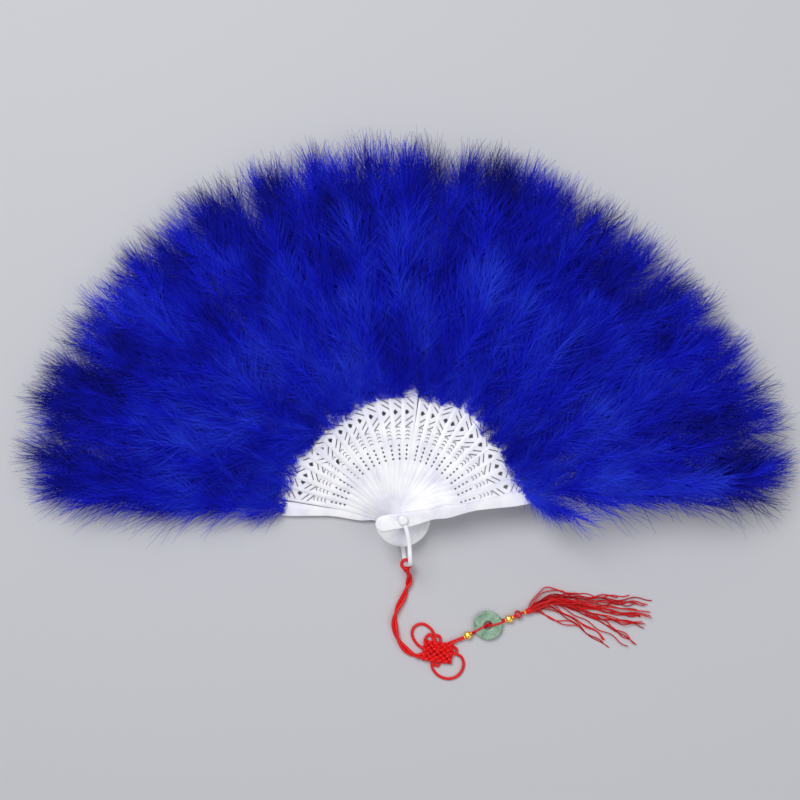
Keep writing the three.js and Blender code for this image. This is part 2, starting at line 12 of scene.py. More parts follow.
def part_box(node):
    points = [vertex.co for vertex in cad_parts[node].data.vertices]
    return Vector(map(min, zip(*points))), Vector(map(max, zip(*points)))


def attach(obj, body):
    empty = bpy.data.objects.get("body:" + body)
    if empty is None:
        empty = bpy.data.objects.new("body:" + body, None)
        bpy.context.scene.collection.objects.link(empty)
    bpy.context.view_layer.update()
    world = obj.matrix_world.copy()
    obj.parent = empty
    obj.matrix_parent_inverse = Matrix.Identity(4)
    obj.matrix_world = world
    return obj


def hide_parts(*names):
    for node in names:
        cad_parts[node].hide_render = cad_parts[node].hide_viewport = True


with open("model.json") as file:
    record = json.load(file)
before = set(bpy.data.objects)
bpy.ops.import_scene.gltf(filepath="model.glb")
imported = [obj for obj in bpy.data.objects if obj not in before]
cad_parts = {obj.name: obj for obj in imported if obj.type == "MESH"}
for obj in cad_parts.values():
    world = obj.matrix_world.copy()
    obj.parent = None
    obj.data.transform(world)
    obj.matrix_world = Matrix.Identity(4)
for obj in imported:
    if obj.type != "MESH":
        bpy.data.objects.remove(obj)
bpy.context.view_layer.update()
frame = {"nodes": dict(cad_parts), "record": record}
scene = bpy.context.scene
scene.view_settings.view_transform = "Standard"
mm = 0.001
circle = 2 * math.pi

# Camera straight above, as in the photograph
camera = {"lens": 85, "sensor": 36, "width": 0.56, "middle": (-0.0021, 0.0833), "level": 0.02}


def newObject(name, data):
    made = bpy.data.objects.new(name, data)
    scene.collection.objects.link(made)
    return made


def placeCamera():
    data = bpy.data.cameras.new("camera")
    data.lens = camera["lens"]
    data.sensor_width = camera["sensor"]
    distance = camera["width"] * camera["lens"] / camera["sensor"]
    scene.camera = newObject("camera", data)
    scene.camera.location = (*camera["middle"], camera["level"] + distance)


placeCamera()


# What an operator makes of a socket and a value, which stands first where it is turned
def between(operation, turned=False):
    return lambda socket, value: socket.sum(operation, value, turned)


def single(operation):
    return lambda socket: socket.nodes.add("Math", {0: socket}, operation=operation)


# One output in a node tree. Sums with it add Math nodes, or Vector Math nodes where one is a vector.
class Socket:
    def __init__(self, nodes, output):
        self.nodes = nodes
        self.output = output

    def sum(self, operation, value, turned):
        pair = [value, self] if turned else [self, value]
        hasVector = any(isinstance(x, Socket) and x.output.type == "VECTOR" for x in pair)
        if hasVector:
            pair = [x if isinstance(x, Socket) else (x, x, x) for x in pair]
        return self.nodes.add("VectorMath" if hasVector else "Math", enumerate(pair), operation=operation)

    __add__, __radd__ = between("ADD"), between("ADD", True)
    __sub__, __rsub__ = between("SUBTRACT"), between("SUBTRACT", True)
    __mul__, __rmul__ = between("MULTIPLY"), between("MULTIPLY", True)
    __truediv__, __pow__, __mod__ = between("DIVIDE"), between("POWER"), between("MODULO")
    atLeast, atMost = between("MAXIMUM"), between("MINIMUM")
    sine, cosine = single("SINE"), single("COSINE")

    # Another output of its node
    def other(self, name):
        return Socket(self.nodes, self.output.node.outputs[name])

    def split(self):
        parts = self.nodes.add("SeparateXYZ", {0: self})
        return parts, parts.other("Y"), parts.other("Z")


# A type of node is named without its first word, which is the first of these that gives a type
firstWords = ("ShaderNode", "GeometryNode", "FunctionNode", "Node", "")


class Nodes:
    def __init__(self, tree):
        self.tree = tree

    # One output of a new node, with its settings and then the values or links of its sockets
    def add(self, kind, inputs=(), output=0, **settings):
        made = self.tree.nodes.new(next(x + kind for x in firstWords if hasattr(bpy.types, x + kind)))
        for name, value in settings.items():
            if name == "stops":
                setStops(made.color_ramp, value)
            else:
                setattr(made, name, value)
        for name, value in dict(inputs).items():
            for part in value if isinstance(value, list) else [value]:
                if isinstance(part, Socket):
                    self.tree.links.new(part.output, made.inputs[name])
                else:
                    made.inputs[name].default_value = part
        return Socket(self, made.outputs[output]) if len(made.outputs) else None

    def vector(self, x, y, z):
        return self.add("CombineXYZ", {0: x, 1: y, 2: z})


def mixed(share, low, high):
    return low + (high - low) * share


def setStops(ramp, stops):
    while len(ramp.elements) < len(stops):
        ramp.elements.new(1)
    for element, (place, colour) in zip(ramp.elements, stops):
        element.position = place
        element.color = colour


# A colour written as on screen, from 0 to 255, as Blender's linear one
def linear(red, green, blue):
    parts = [x / 255 for x in (red, green, blue)]
    return (*[x / 12.92 if x <= 0.04045 else ((x + 0.055) / 1.055) ** 2.4 for x in parts], 1)


def emptyTree(owner):
    owner.use_nodes = True
    owner.node_tree.nodes.clear()
    return Nodes(owner.node_tree)


# A material with one shader: its look's constants stand on its sockets, and vary gives the links of others
def newFinish(name, vary, look):
    material = bpy.data.materials.new(name)
    nodes = emptyTree(material)
    shader = nodes.add("BsdfPrincipled", look["constants"] | vary(nodes, look))
    nodes.add("OutputMaterial", {"Surface": shader})
    return material


def objectPlace(nodes):
    return nodes.add("TexCoord", output="Object")


def noise(place, scale, detail=2, roughness=0.5, dimensions="3D"):
    inputs = {"Vector": place, "Scale": scale, "Detail": detail, "Roughness": roughness}
    return place.nodes.add("TexNoise", inputs, noise_dimensions=dimensions)


# Streaks on a piece's map, whose places are given in their widths and lengths
def streaked(across, along, roughness=0.5):
    place = across.nodes.vector(across, along, 0)
    return noise(place, scale=1, roughness=roughness, dimensions="2D")


def ramp(value, stops):
    return value.nodes.add("ValToRGB", {0: value}, stops=stops)


# A look's tones by a value, and its gloss by a share
def toned(look, value, share):
    return {"Base Color": ramp(value, look["tones"]), "Roughness": mixed(share, *look["gloss"])}


# A look's tones and gloss in clouds, with its other colour laid over them by a share
def covered(look, cloud, share):
    under = toned(look, cloud, cloud)
    inputs = {0: share, 6: under["Base Color"], 7: look["cover"]}
    return under | {"Base Color": cloud.nodes.add("Mix", inputs, 2, data_type="RGBA")}


# How far a place lies out from the pivot past a start, in runs
def outward(place, start, run):
    x, y, _ = place.split()
    return (((x * x + y * y) ** 0.5 - start) / run).atLeast(0)


mapName = "OFBake"
lengthName = "reach"


# Own map of a piece, as across and along
def ownMap(nodes):
    return nodes.add("UVMap", uv_map=mapName).split()


plasticLook = {
    "constants": {
        "Specular IOR Level": 0.5, "Coat Weight": 0.15, "Coat Roughness": 0.2,
        "Subsurface Weight": 0.12, "Subsurface Radius": (0.002, 0.002, 0.0022), "Subsurface Scale": 0.5,
    },
    "tones": [(0.3, linear(228, 228, 240)), (0.6, linear(250, 250, 253))], "cloud": 60, "gloss": (0.26, 0.4),
    "cover": linear(18, 22, 190), "downFrom": 0.096, "downRun": 0.006,
    "blush": 0.16, "blushFrom": 0.066, "blushRun": 0.03,
}


# White, with painted blue light from the feathers towards the ribs' ends, and blue where the feathers' down
# is glued on the sticks
def varyPlastic(nodes, look):
    place = objectPlace(nodes)
    cloud = noise(place, look["cloud"], detail=3)
    # Painted light: the white turns partly blue towards the feathers, for the blue light they throw back onto
    # the ribs
    blush = outward(place, look["blushFrom"], look["blushRun"]).atMost(1) * look["blush"]
    # The share of blue covers both the glued down and the painted blue light
    gluedDownAndBounce = outward(place, look["downFrom"], look["downRun"]).atLeast(blush).atMost(1)
    return covered(look, cloud, gluedDownAndBounce)


featherLook = {
    "constants": {
        "Specular IOR Level": 0.12, "Roughness": 0.7, "Sheen Weight": 0.12, "Sheen Roughness": 0.5,
        "Sheen Tint": linear(70, 100, 255),
    },
    "tones": [(0.1, linear(8, 10, 120)), (0.5, linear(22, 28, 228)), (0.95, linear(54, 82, 255))],
    "streaks": 60, "streakLength": 3, "cloud": 24, "darkFrom": 0.16, "darkRun": 0.1,
    "ownShare": 0.75, "streakShare": 0.2, "tipShare": 0.12, "cloudShare": 1.1, "darkShare": 0.26,
    "level": 0.57,
}


# The map's first number is a barb's own tone, with its plume's in it, which holds painted shade for plumes
# that sit low, and the second runs from root to tip
def varyFeather(nodes, look):
    lane, along, _ = ownMap(nodes)
    place = objectPlace(nodes)
    streak = streaked(lane * look["streaks"], along * look["streakLength"])
    cloud = noise(place, look["cloud"], detail=3, roughness=0.6)
    outer = outward(place, look["darkFrom"], look["darkRun"])
    # Painted shade: barbs get darker towards their roots, which lie deep in the plume
    value = lane * look["ownShare"] + streak * look["streakShare"] + along * look["tipShare"]
    # Clouds of tone, partly dye that differs at random and partly painted shade between tufts; darker
    # outwards past darkFrom
    value = value + cloud * look["cloudShare"] - outer * look["darkShare"] - look["level"]
    return {"Base Color": ramp(value, look["tones"])}


satin = {"Specular IOR Level": 0.3}
cordLook = {
    "constants": satin, "yarns": 6, "pitch": 1.1 * mm,
    "tones": [(0, linear(150, 2, 8)), (0.45, linear(230, 6, 12)), (1, linear(255, 32, 28))],
    "fuzzAcross": 24, "fuzzAlong": 2500, "layShare": 0.36, "fuzzShare": 0.8, "level": 0.08,
    "gloss": (0.5, 0.3), "relief": 0.6, "depth": 0.06 * mm,
}


# Satin cord: fine yarns cross over one another all round it, one pitch apart along its length in metres
def varyCord(nodes, look):
    across, _, _ = ownMap(nodes)
    along = nodes.add("Attribute", output="Fac", attribute_name=lengthName)
    turn = across * (look["yarns"] * circle)
    wound = along * (circle / look["pitch"])
    lay = (turn + wound).sine() * (turn - wound).sine() * 0.5 + 0.5
    fuzz = streaked(across * look["fuzzAcross"], along * look["fuzzAlong"], roughness=0.6)
    value = lay * look["layShare"] + fuzz * look["fuzzShare"] - look["level"]
    bump = {"Height": value, "Strength": look["relief"], "Distance": look["depth"]}
    return toned(look, value, lay) | {"Normal": nodes.add("Bump", bump)}


threadLook = {
    "constants": satin,
    "tones": [(0.15, linear(140, 2, 6)), (0.5, linear(214, 5, 10)), (0.9, linear(246, 26, 24))],
    "streaks": 80, "streakLength": 60, "ownShare": 0.5, "streakShare": 0.5, "gloss": (0.35, 0.6),
}


def varyThread(nodes, look):
    lane, along, _ = ownMap(nodes)
    streak = streaked(lane * look["streaks"], along * look["streakLength"])
    return toned(look, lane * look["ownShare"] + streak * look["streakShare"], streak)


goldLook = {
    "constants": {"Metallic": 1}, "tones": [(0.3, linear(214, 150, 48)), (0.7, linear(255, 214, 110))],
    "cloud": 700, "gloss": (0.12, 0.3),
}
glazeLook = {
    "constants": {"Coat Weight": 0.6, "Coat Roughness": 0.08},
    "tones": [(0.3, linear(150, 2, 10)), (0.7, linear(225, 14, 22))], "cloud": 500, "gloss": (0.15, 0.3),
}


# Two tones in small clouds, whose gloss goes with them
def varyClouds(nodes, look):
    cloud = noise(objectPlace(nodes), look["cloud"], detail=3)
    return toned(look, cloud, cloud)


jadeLook = {
    "constants": {
        "Subsurface Weight": 0.2, "Subsurface Radius": (0.001, 0.0016, 0.001), "Subsurface Scale": 1,
        "Coat Weight": 0.5, "Coat Roughness": 0.08,
    },
    "tones": [(0.32, linear(100, 142, 114)), (0.68, linear(160, 190, 164))], "cloud": 150,
    "gloss": (0.1, 0.26), "cover": linear(40, 74, 56), "fleck": 190, "fleckShift": 7.3,
    "fleckStops": [(0.6, (0, 0, 0, 1)), (0.72, (1, 1, 1, 1))],
}


def varyJade(nodes, look):
    place = objectPlace(nodes)
    cloud = noise(place, look["cloud"], detail=4, roughness=0.6)
    fleck = noise(place + look["fleckShift"], look["fleck"], detail=3, roughness=0.55)
    return covered(look, cloud, ramp(fleck, look["fleckStops"]))


finishes = {
    "white_plastic": newFinish("whitePlastic", varyPlastic, plasticLook),
    "feathers": newFinish("blueFeather", varyFeather, featherLook),
    "red_cord": newFinish("redCord", varyCord, cordLook),
    "red_cord_thin": newFinish("thinRedCord", varyCord, cordLook | {"yarns": 5, "pitch": 0.8 * mm}),
    "tassel_thread": newFinish("redThread", varyThread, threadLook),
    "gold": newFinish("goldPlate", varyClouds, goldLook),
    "jade": newFinish("paleStone", varyJade, jadeLook),
    "red_glaze": newFinish("redGlaze", varyClouds, glazeLook),
}
print("finishes ready")


bodyOf = {node: body for body, nodes in frame["record"]["behaviour"]["bodies"].items() for node in nodes}


# A piece with its mesh's name. It rides on the body of the node that it stands for, unless one is given.
def finishPiece(mesh, finish, node, body=None):
    piece = newObject(mesh.name, mesh)
    mesh.materials.clear()
    mesh.materials.append(finishes[finish])
    mesh.shade_smooth()
    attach(piece, body or bodyOf[node])
    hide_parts(node)
    return piece


def meshFrom(name, points, faces, places=None, lengths=None):
    mesh = bpy.data.meshes.new(name)
    mesh.from_pydata([tuple(p) for p in points], [], faces)
    if lengths is not None:
        mesh.attributes.new(lengthName, "FLOAT", "POINT").data.foreach_set("value", lengths)
    if places is not None:
        layer = mesh.uv_layers.new(name=mapName)
        layer.uv.foreach_set("vector", np.asarray(places, np.float32).ravel())
    mesh.validate()
    return mesh


# Curve through points with centripetal spacing, and its direction, at shares of its length in points
def curveThrough(points, shares):
    points = np.asarray(points, float)
    padded = np.vstack([2 * points[0] - points[1], points, 2 * points[-1] - points[-2]])
    last = len(points) - 2
    places, ways = [], []
    for share in shares:
        at = share * (len(points) - 1)
        k = min(int(at), last)
        t = at - k
        a, b, c, d = padded[k:k + 4]
        gaps = [max(np.linalg.norm(q - p) ** 0.5, mm * mm) for p, q in ((a, b), (b, c), (c, d))]
        start = ((b - a) / gaps[0] - (c - a) / (gaps[0] + gaps[1]) + (c - b) / gaps[1]) * gaps[1]
        end = ((c - b) / gaps[1] - (d - b) / (gaps[1] + gaps[2]) + (d - c) / gaps[2]) * gaps[1]
        cubic = 2 * b - 2 * c + start + end
        square = -3 * b + 3 * c - 2 * start - end
        places.append(b + start * t + square * t * t + cubic * t ** 3)
        ways.append(start + 2 * square * t + 3 * cubic * t * t)
    ways = np.array(ways)
    return np.array(places), ways / np.linalg.norm(ways, axis=1)[:, None]


def stepsOf(path):
    return np.linalg.norm(np.diff(path, axis=0), axis=1)


def lengthOf(path):
    return float(stepsOf(path).sum())


# The same line with points a step apart
def evenly(path, step):
    lengths = np.r_[0, np.cumsum(stepsOf(path))]
    wanted = np.linspace(0, lengths[-1], max(round(lengths[-1] / step), 3) + 1)
    return np.stack([np.interp(wanted, lengths, path[:, k]) for k in range(3)], 1)


# Two smaller rings round off each end of a tube: how far they lie out and how wide they are, in radii.
# On its map a tube keeps off the edges, and takes one narrow lane if it is given one.
tube = {"ends": [(0.85, 0.5), (0.5, 0.85)], "margin": 0.01, "laneWidth": 0.004, "capWidth": 0.002}


# Points, faces, map and lengths of a tube along a path, with its points counted on from a start
def tubeAlong(start, path, radius, sides, relief=None, lane=None):
    count = len(path)
    ways = np.gradient(path, axis=0)
    ways /= np.linalg.norm(ways, axis=1)[:, None]
    side = np.cross(ways[0], (0, 0, 1))
    frames = []
    for way in ways:
        side = side - way * (side @ way)
        side /= np.linalg.norm(side)
        frames.append((side, np.cross(way, side)))
    radii = np.broadcast_to(radius, count)
    rings = [(path[0] - ways[0] * radii[0] * out, frames[0], radii[0] * wide, 0)
             for out, wide in tube["ends"]]
    rings += [(p, f, r, k / (count - 1)) for k, (p, f, r) in enumerate(zip(path, frames, radii))]
    rings += [(path[-1] + ways[-1] * radii[-1] * out, frames[-1], radii[-1] * wide, 1)
              for out, wide in reversed(tube["ends"])]
    points, faces, places, lengths = [], [], [], []
    total = lengthOf(path)
    for centre, (across, rise), size, share in rings:
        for k in range(sides):
            turn = circle * k / sides
            reach = size * (1 + (relief(turn, share * total) if relief else 0))
            points.append(centre + (across * math.cos(turn) + rise * math.sin(turn)) * reach)
            lengths.append(share * total)
    heights = np.linspace(tube["margin"], 1 - tube["margin"], len(rings))
    for ring in range(len(rings) - 1):
        for k in range(sides):
            a, b = ring * sides + k, ring * sides + (k + 1) % sides
            faces.append([start + x for x in (a, b, b + sides, a + sides)])
            left, right = (k / sides, (k + 1) / sides)
            if lane is not None:
                left, right = (lane + tube["laneWidth"] * (x - 0.5) for x in (left, right))
            low, high = heights[ring], heights[ring + 1]
            places += [(left, low), (right, low), (right, high), (left, high)]
    middle, size = 0.5 if lane is None else lane, tube["capWidth"]
    turns = [circle * k / sides for k in range(sides)]
    for ring, order in ((0, -1), (len(rings) - 1, 1)):
        faces.append([start + ring * sides + k for k in range(sides)][::order])
        corners = [(middle + size * math.cos(turn), heights[ring] + size * math.sin(turn)) for turn in turns]
        places += corners[::order]
    return points, faces, places, lengths


def joinTubes(name, tubes):
    whole = [], [], [], []
    for one in tubes:
        for kept, more in zip(whole, tubeAlong(len(whole[0]), *one)):
            kept += more
    return meshFrom(name, *whole)


ridgeMiddle = 0.6  # of a ridge's height


# Two or more yarns show as low ridges that wind round a cord
def layRelief(yarns, pitch, depth):
    def relief(turn, along):
        return depth * (abs(math.cos(yarns / 2 * (turn - circle * along / pitch))) - ridgeMiddle)
    return relief


# Cords, along the routes that their solids have, in millimetres
floorGap = 0.2 * mm
strandSteps = 60  # points of a strand's curve for each of its route
upperCord = {
    "diameter": 2.3 * mm, "twists": 2.5, "gap": 0.02 * mm, "step": 0.5 * mm, "sides": 16,
    "lay": (6, 7 * mm, 0.03), "finish": "red_cord",
}
upperRoute = [
    (1.9, -35, 9.4), (2.9, -38, 8.6), (4.4, -42, 5.4), (4, -46.5, 3.2), (2.8, -50, 2.8), (0.3, -56.8, 2.8),
    (-3.8, -64.3, 2.8), (-6, -71.8, 2.8), (-5.7, -78.7, 2.8), (-3.5, -86.2, 2.8), (0.3, -91.8, 2.8),
    (5.3, -96.2, 2.8), (10.3, -98.2, 2.8), (15.5, -97.6, 2.8),
]
lowerCord = {
    "diameter": 1.3 * mm, "gap": 0.3 * mm, "offset": 0.67 * mm, "step": 0.35 * mm, "sides": 12,
    "lay": (5, 5 * mm, 0.03), "finish": "red_cord_thin",
}
lowerRoute = [
    (27, -92.6), (32, -89.6), (38, -87.2), (43.2, -85.1), (46.1, -83.6), (48.9, -82.2), (50.9, -81.2),
    (52.6, -80.4), (55.2, -79), (57.6, -77.7), (60.3, -76.4), (63.2, -75.6), (65.8, -74.9), (68.4, -74.1),
    (70.3, -73.5), (72.5, -72.9), (75.4, -72), (78.2, -70.6), (80.6, -69.4),
]
# Height of each lower strand along that route: 0 on the floor, 1 in the beads' bores, 2 over the disc
overLevels = [1, 1, 1, 1, 1, 1.12, 1.8, 2, 2, 2, 1.02, 0, 0, 0, 0.12, 0.85, 1, 1.1, 1.2]
underLevels = [1, 1, 1, 1, 1, 0.88, 0.15, 0, 0, 0, 1.02, 2, 2, 2, 1.85, 1.15, 1, 1.1, 1.2]


# A strand beside its twin along a route, winding round it if it has twists
def laidStrand(route, offset, twists, phase, step):
    shares = np.linspace(0, 1, strandSteps * len(route))
    places, ways = curveThrough(np.asarray(route, float) * mm, shares)
    side = np.cross((0, 0, 1), ways)
    side /= np.linalg.norm(side, axis=1)[:, None]
    rise = np.cross(ways, side)
    turn = (phase + twists * shares * circle)[:, None]
    return evenly(places + side * offset * np.cos(turn) + rise * offset * np.sin(turn), step)


def upperPaths():
    offset = upperCord["diameter"] / 2 + upperCord["gap"]
    return [laidStrand(upperRoute, offset, upperCord["twists"], phase, upperCord["step"])
            for phase in (0, math.pi)]


def lowerPaths():
    radius = lowerCord["diameter"] / 2
    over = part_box("jade_disc")[1].z + lowerCord["gap"] + radius
    heights = [x / mm for x in (floorGap + radius, heightOf("gold_bead_1"), over)]
    paths = []
    for levels, phase in ((overLevels, 0), (underLevels, math.pi)):
        route = [(*p, float(np.interp(level, (0, 1, 2), heights))) for p, level in zip(lowerRoute, levels)]
        paths.append(laidStrand(route, lowerCord["offset"], 0, phase, lowerCord["step"]))
    return paths


def middleOf(node):
    low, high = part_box(node)
    return (low + high) / 2


def heightOf(node):
    return sum(x.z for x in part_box(node)) / 2


def makeStrands(name, node, paths, cord):
    made = []
    for k, path in enumerate(paths, 1):
        one = path, cord["diameter"] / 2, cord["sides"], layRelief(*cord["lay"])
        mesh = joinTubes(f"{name}_{k}", [one])
        made.append(finishPiece(mesh, cord["finish"], f"{node}_{k}"))
    return made


# The bridge's points are how far it stands out past the turns and its share of their height
hitch = {
    "turns": 2.15, "start": -2.2, "points": 90,
    "bridge": [(0, -0.2), (1.2 * mm, 0.1), (1.2 * mm, 0.9), (0, 1.2)], "bridgeTurn": -1.2,
    "bridgePoints": 24, "bridgeShare": 0.92,
}


# Two turns of the cord round the bail, and the short bridge of cord that crosses them
def makeHitch():
    low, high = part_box("cord_hitch")
    radius = upperCord["diameter"] / 2
    reach = (high.x - low.x) / 2 - radius
    span = high.z - low.z - 2 * radius
    shares = np.linspace(0, 1, hitch["points"])
    turn = hitch["start"] + shares * hitch["turns"] * circle
    middle = (low + high) / 2
    heights = low.z + radius + span * shares
    path = np.stack([middle.x + reach * np.cos(turn), middle.y + reach * np.sin(turn), heights], 1)
    way = np.array([math.cos(hitch["bridgeTurn"]), math.sin(hitch["bridgeTurn"])])
    bridge = [(*(np.array(middle.xy) + way * (reach + out)), low.z + radius + span * up)
              for out, up in hitch["bridge"]]
    bridge, _ = curveThrough(bridge, np.linspace(0, 1, hitch["bridgePoints"]))
    look = upperCord["sides"], layRelief(*upperCord["lay"])
    mesh = joinTubes("hitch", [(path, radius, *look), (bridge, radius * hitch["bridgeShare"], *look)])
    return finishPiece(mesh, "red_cord", "cord_hitch")


# The knot: a cord that passes over and under itself, and the loops that stand out of it
knot = {
    "place": (24.6 * mm, -95.4 * mm), "halfLength": 10 * mm, "halfWidth": 6.6 * mm, "angle": -8,
    "lengthwise": 4, "crosswise": 5, "phase": 0.31, "straight": 0.93, "wave": 0.95 * mm, "dome": 0.5 * mm,
    "cord": 2.15 * mm, "loopCord": 2.1 * mm, "step": 0.5 * mm, "sides": 14, "points": 800, "loopSteps": 30,
}
knotLoops = [
    [(17, -94), (13, -92.3), (9, -88.7), (6.5, -83.1), (7.8, -78.1), (12.8, -75.6), (17.8, -77.4),
     (22, -82.6), (23, -91)],
    [(19, -94), (15.9, -90), (15.9, -86.2), (19.2, -83), (21.3, -86.2), (21.4, -92)],
    [(21.4, -92), (21.8, -87), (23.4, -83.8), (26, -84.6), (26.6, -88.1), (25, -94)],
    [(22, -98), (20.6, -102.5), (20.9, -106.8), (24.6, -111.8), (30.9, -114.5), (37.2, -113.4),
     (41.5, -109.3), (43, -103.7), (41.2, -98.9), (37.2, -96.9), (29, -96.4)],
    [(22.6, -99), (21.9, -104), (24.6, -105.4), (26.4, -102.4), (26.4, -98)],
    [(29, -93.5), (34.7, -91.8), (38, -93.4), (37.6, -96.2), (30, -97)],
]


# Heights that take a closed flat line over and under itself by turns
def wovenHeights(flat, wave):
    whole = len(flat)
    steps = np.roll(flat, -1, axis=0) - flat
    gaps = flat[None, :] - flat[:, None]
    cross = steps[:, None, 0] * steps[None, :, 1] - steps[:, None, 1] * steps[None, :, 0]
    cross[np.abs(cross) < mm ** 6] = 1
    along = (gaps[..., 0] * steps[None, :, 1] - gaps[..., 1] * steps[None, :, 0]) / cross
    met = (along >= 0) & (along < 1)
    visits = np.argwhere(met & met.T & ~np.eye(whole, dtype=bool))
    turns = np.array(sorted(i + along[i, j] for i, j in visits if abs(i - j) > 1))
    signs = np.tile(wave * (-1) ** np.arange(len(turns)), 3)
    turns = np.r_[turns - whole, turns, turns + whole]
    places = np.arange(whole)
    after = np.searchsorted(turns, places, side="right")
    share = (places - turns[after - 1]) / (turns[after] - turns[after - 1])
    return signs[after - 1] + (signs[after] - signs[after - 1]) * (1 - np.cos(math.pi * share)) / 2


def makeKnot():
    middle = heightOf("flower_knot")
    t = np.linspace(0, circle, knot["points"], endpoint=False)
    edge = math.asin(knot["straight"])
    x = np.arcsin(knot["straight"] * np.cos(knot["lengthwise"] * t + knot["phase"])) / edge
    y = np.arcsin(knot["straight"] * np.cos(knot["crosswise"] * t)) / edge
    flat = np.stack([x * knot["halfLength"], y * knot["halfWidth"]], 1)
    z = wovenHeights(flat, knot["wave"]) + knot["dome"] * (0.5 - (x * x + y * y) / 2)
    turn = math.radians(knot["angle"])
    x, y = flat.T
    weave = np.stack([
        knot["place"][0] + x * math.cos(turn) - y * math.sin(turn),
        knot["place"][1] + x * math.sin(turn) + y * math.cos(turn), middle + z,
    ], 1)
    look = knot["sides"], layRelief(*upperCord["lay"])
    tubes = [(evenly(weave, knot["step"]), knot["cord"] / 2, *look)]
    radius = knot["loopCord"] / 2
    for points in knotLoops:
        rises = np.sqrt(np.sin(np.linspace(0, math.pi, len(points))).clip(0, 1))
        route = [(px * mm, py * mm, middle - (middle - floorGap - radius) * rise)
                 for (px, py), rise in zip(points, rises)]
        path, _ = curveThrough(route, np.linspace(0, 1, knot["loopSteps"] * len(route)))
        tubes.append((evenly(path, knot["step"]), radius, *look))
    return finishPiece(joinTubes("knot", tubes), "red_cord", "flower_knot")


# Tassel: threads along the locks that its solid has, each a little beside the next
lockRoutes = [
    [(95, -61.5, 3), (107, -55.5, 2.2), (121, -56, 1.8), (138, -56.6, 1.6), (156.8, -56.7, 1.6)],
    [(95, -62, 4), (107, -56.8, 4.6), (123, -58, 3.6), (148, -58.6, 2), (172.9, -59.5, 1.6)],
    [(95, -62.4, 4.6), (107, -57.6, 5.6), (125, -60.5, 4.6), (150, -64, 2.6), (175.2, -67.2, 1.6)],
    [(95, -62.8, 3), (106, -58, 2.6), (124, -62.8, 2), (147, -68.5, 1.8), (167.3, -71.8, 1.6)],
    [(95, -63.2, 3.6), (106, -59.4, 4.2), (122, -64.8, 4), (145, -72.6, 3), (170.8, -77.9, 1.6)],
    [(95, -63.6, 2.4), (105, -60.2, 1.8), (120, -67, 1.6), (142, -77, 1.6), (165.2, -92, 1.6)],
    [(95, -64, 3), (104, -61.8, 3.4), (118, -69.6, 2.4), (132, -79, 1.6), (147.5, -89.6, 1.6)],
    [(93, -60.5, 2.6), (101.5, -50.5, 1.6), (112, -50, 1.6), (121.1, -52, 1.6), (133, -55.2, 1.6)],
    [(95, -67, 2), (105.7, -73.4, 1.6), (116, -78, 1.6), (125.3, -80.2, 1.6)],
]
tassel = {
    "place": (88.9 * mm, -66.3 * mm), "seed": 5, "threadsPerLock": [3, 4, 5, 4, 5, 4, 4, 2, 2], "coreLock": 2,
    "diameter": 0.8 * mm, "step": 1.1 * mm, "sides": 6, "coreSides": 9, "curveSteps": 40,
    "spread": 2 * mm, "spreadFlatness": (1, 1, 0.5), "spreadPower": 0.7, "wave": 0.9 * mm,
    "waveFlatness": (1, 1, 0.4), "ends": (0.7, 1.1), "lanes": (0.05, 0.95),
    "curl": (0.5 * mm, 1.3 * mm), "curlLength": (15 * mm, 26 * mm), "curlStart": (0, 6.3), "curlPower": 0.8,
}
# The bound head round its threads, with its radii in millimetres from the bead on
tasselHead = {
    "radii": [0.8, 0.85, 0.85, 0.9, 0.9, 1.5, 2, 2.15, 2.0, 1.5], "length": 10 * mm, "start": -7.4 * mm,
    "points": 45, "sides": 20, "lay": (2, 0.9 * mm, 0.05),
}


# A thread that waves from side to side, more towards its end
def curled(path, draw):
    lengths = np.arange(len(path)) * tassel["step"]
    ways = np.gradient(path[:, :2], axis=0)
    aside = np.stack([-ways[:, 1], ways[:, 0]], 1) / np.linalg.norm(ways, axis=1)[:, None]
    reach, pitch = draw.uniform(*tassel["curl"]), draw.uniform(*tassel["curlLength"])
    grown = (lengths / lengths[-1]).clip(0, 1) ** tassel["curlPower"]
    waved = np.sin(circle * lengths / pitch + draw.uniform(*tassel["curlStart"])) * reach * grown
    path[:, :2] += aside * waved[:, None]
    return path


# One thread of a lock and its lane on the map. The core thread keeps to the lock's own route.
def threadAlong(route, start, isCore, draw):
    points = np.array([start / mm, *route]) * mm
    aside = draw.normal(0, 0 if isCore else 1, 3) * tassel["spreadFlatness"]
    points += np.outer(np.linspace(0, 1, len(points)) ** tassel["spreadPower"], aside) * tassel["spread"]
    if not isCore:
        points[1:-1] += draw.normal(0, tassel["wave"], (len(points) - 2, 3)) * tassel["waveFlatness"]
    points[-1] = points[-2] + (points[-1] - points[-2]) * (1 if isCore else draw.uniform(*tassel["ends"]))
    path, _ = curveThrough(points, np.linspace(0, 1, tassel["curveSteps"] * len(points)))
    path = evenly(path, tassel["step"])
    if not isCore:
        path = curled(path, draw)
    path[:, 2] = path[:, 2].clip(floorGap + tassel["diameter"] / 2, None)
    return path, float(draw.uniform(*tassel["lanes"]))


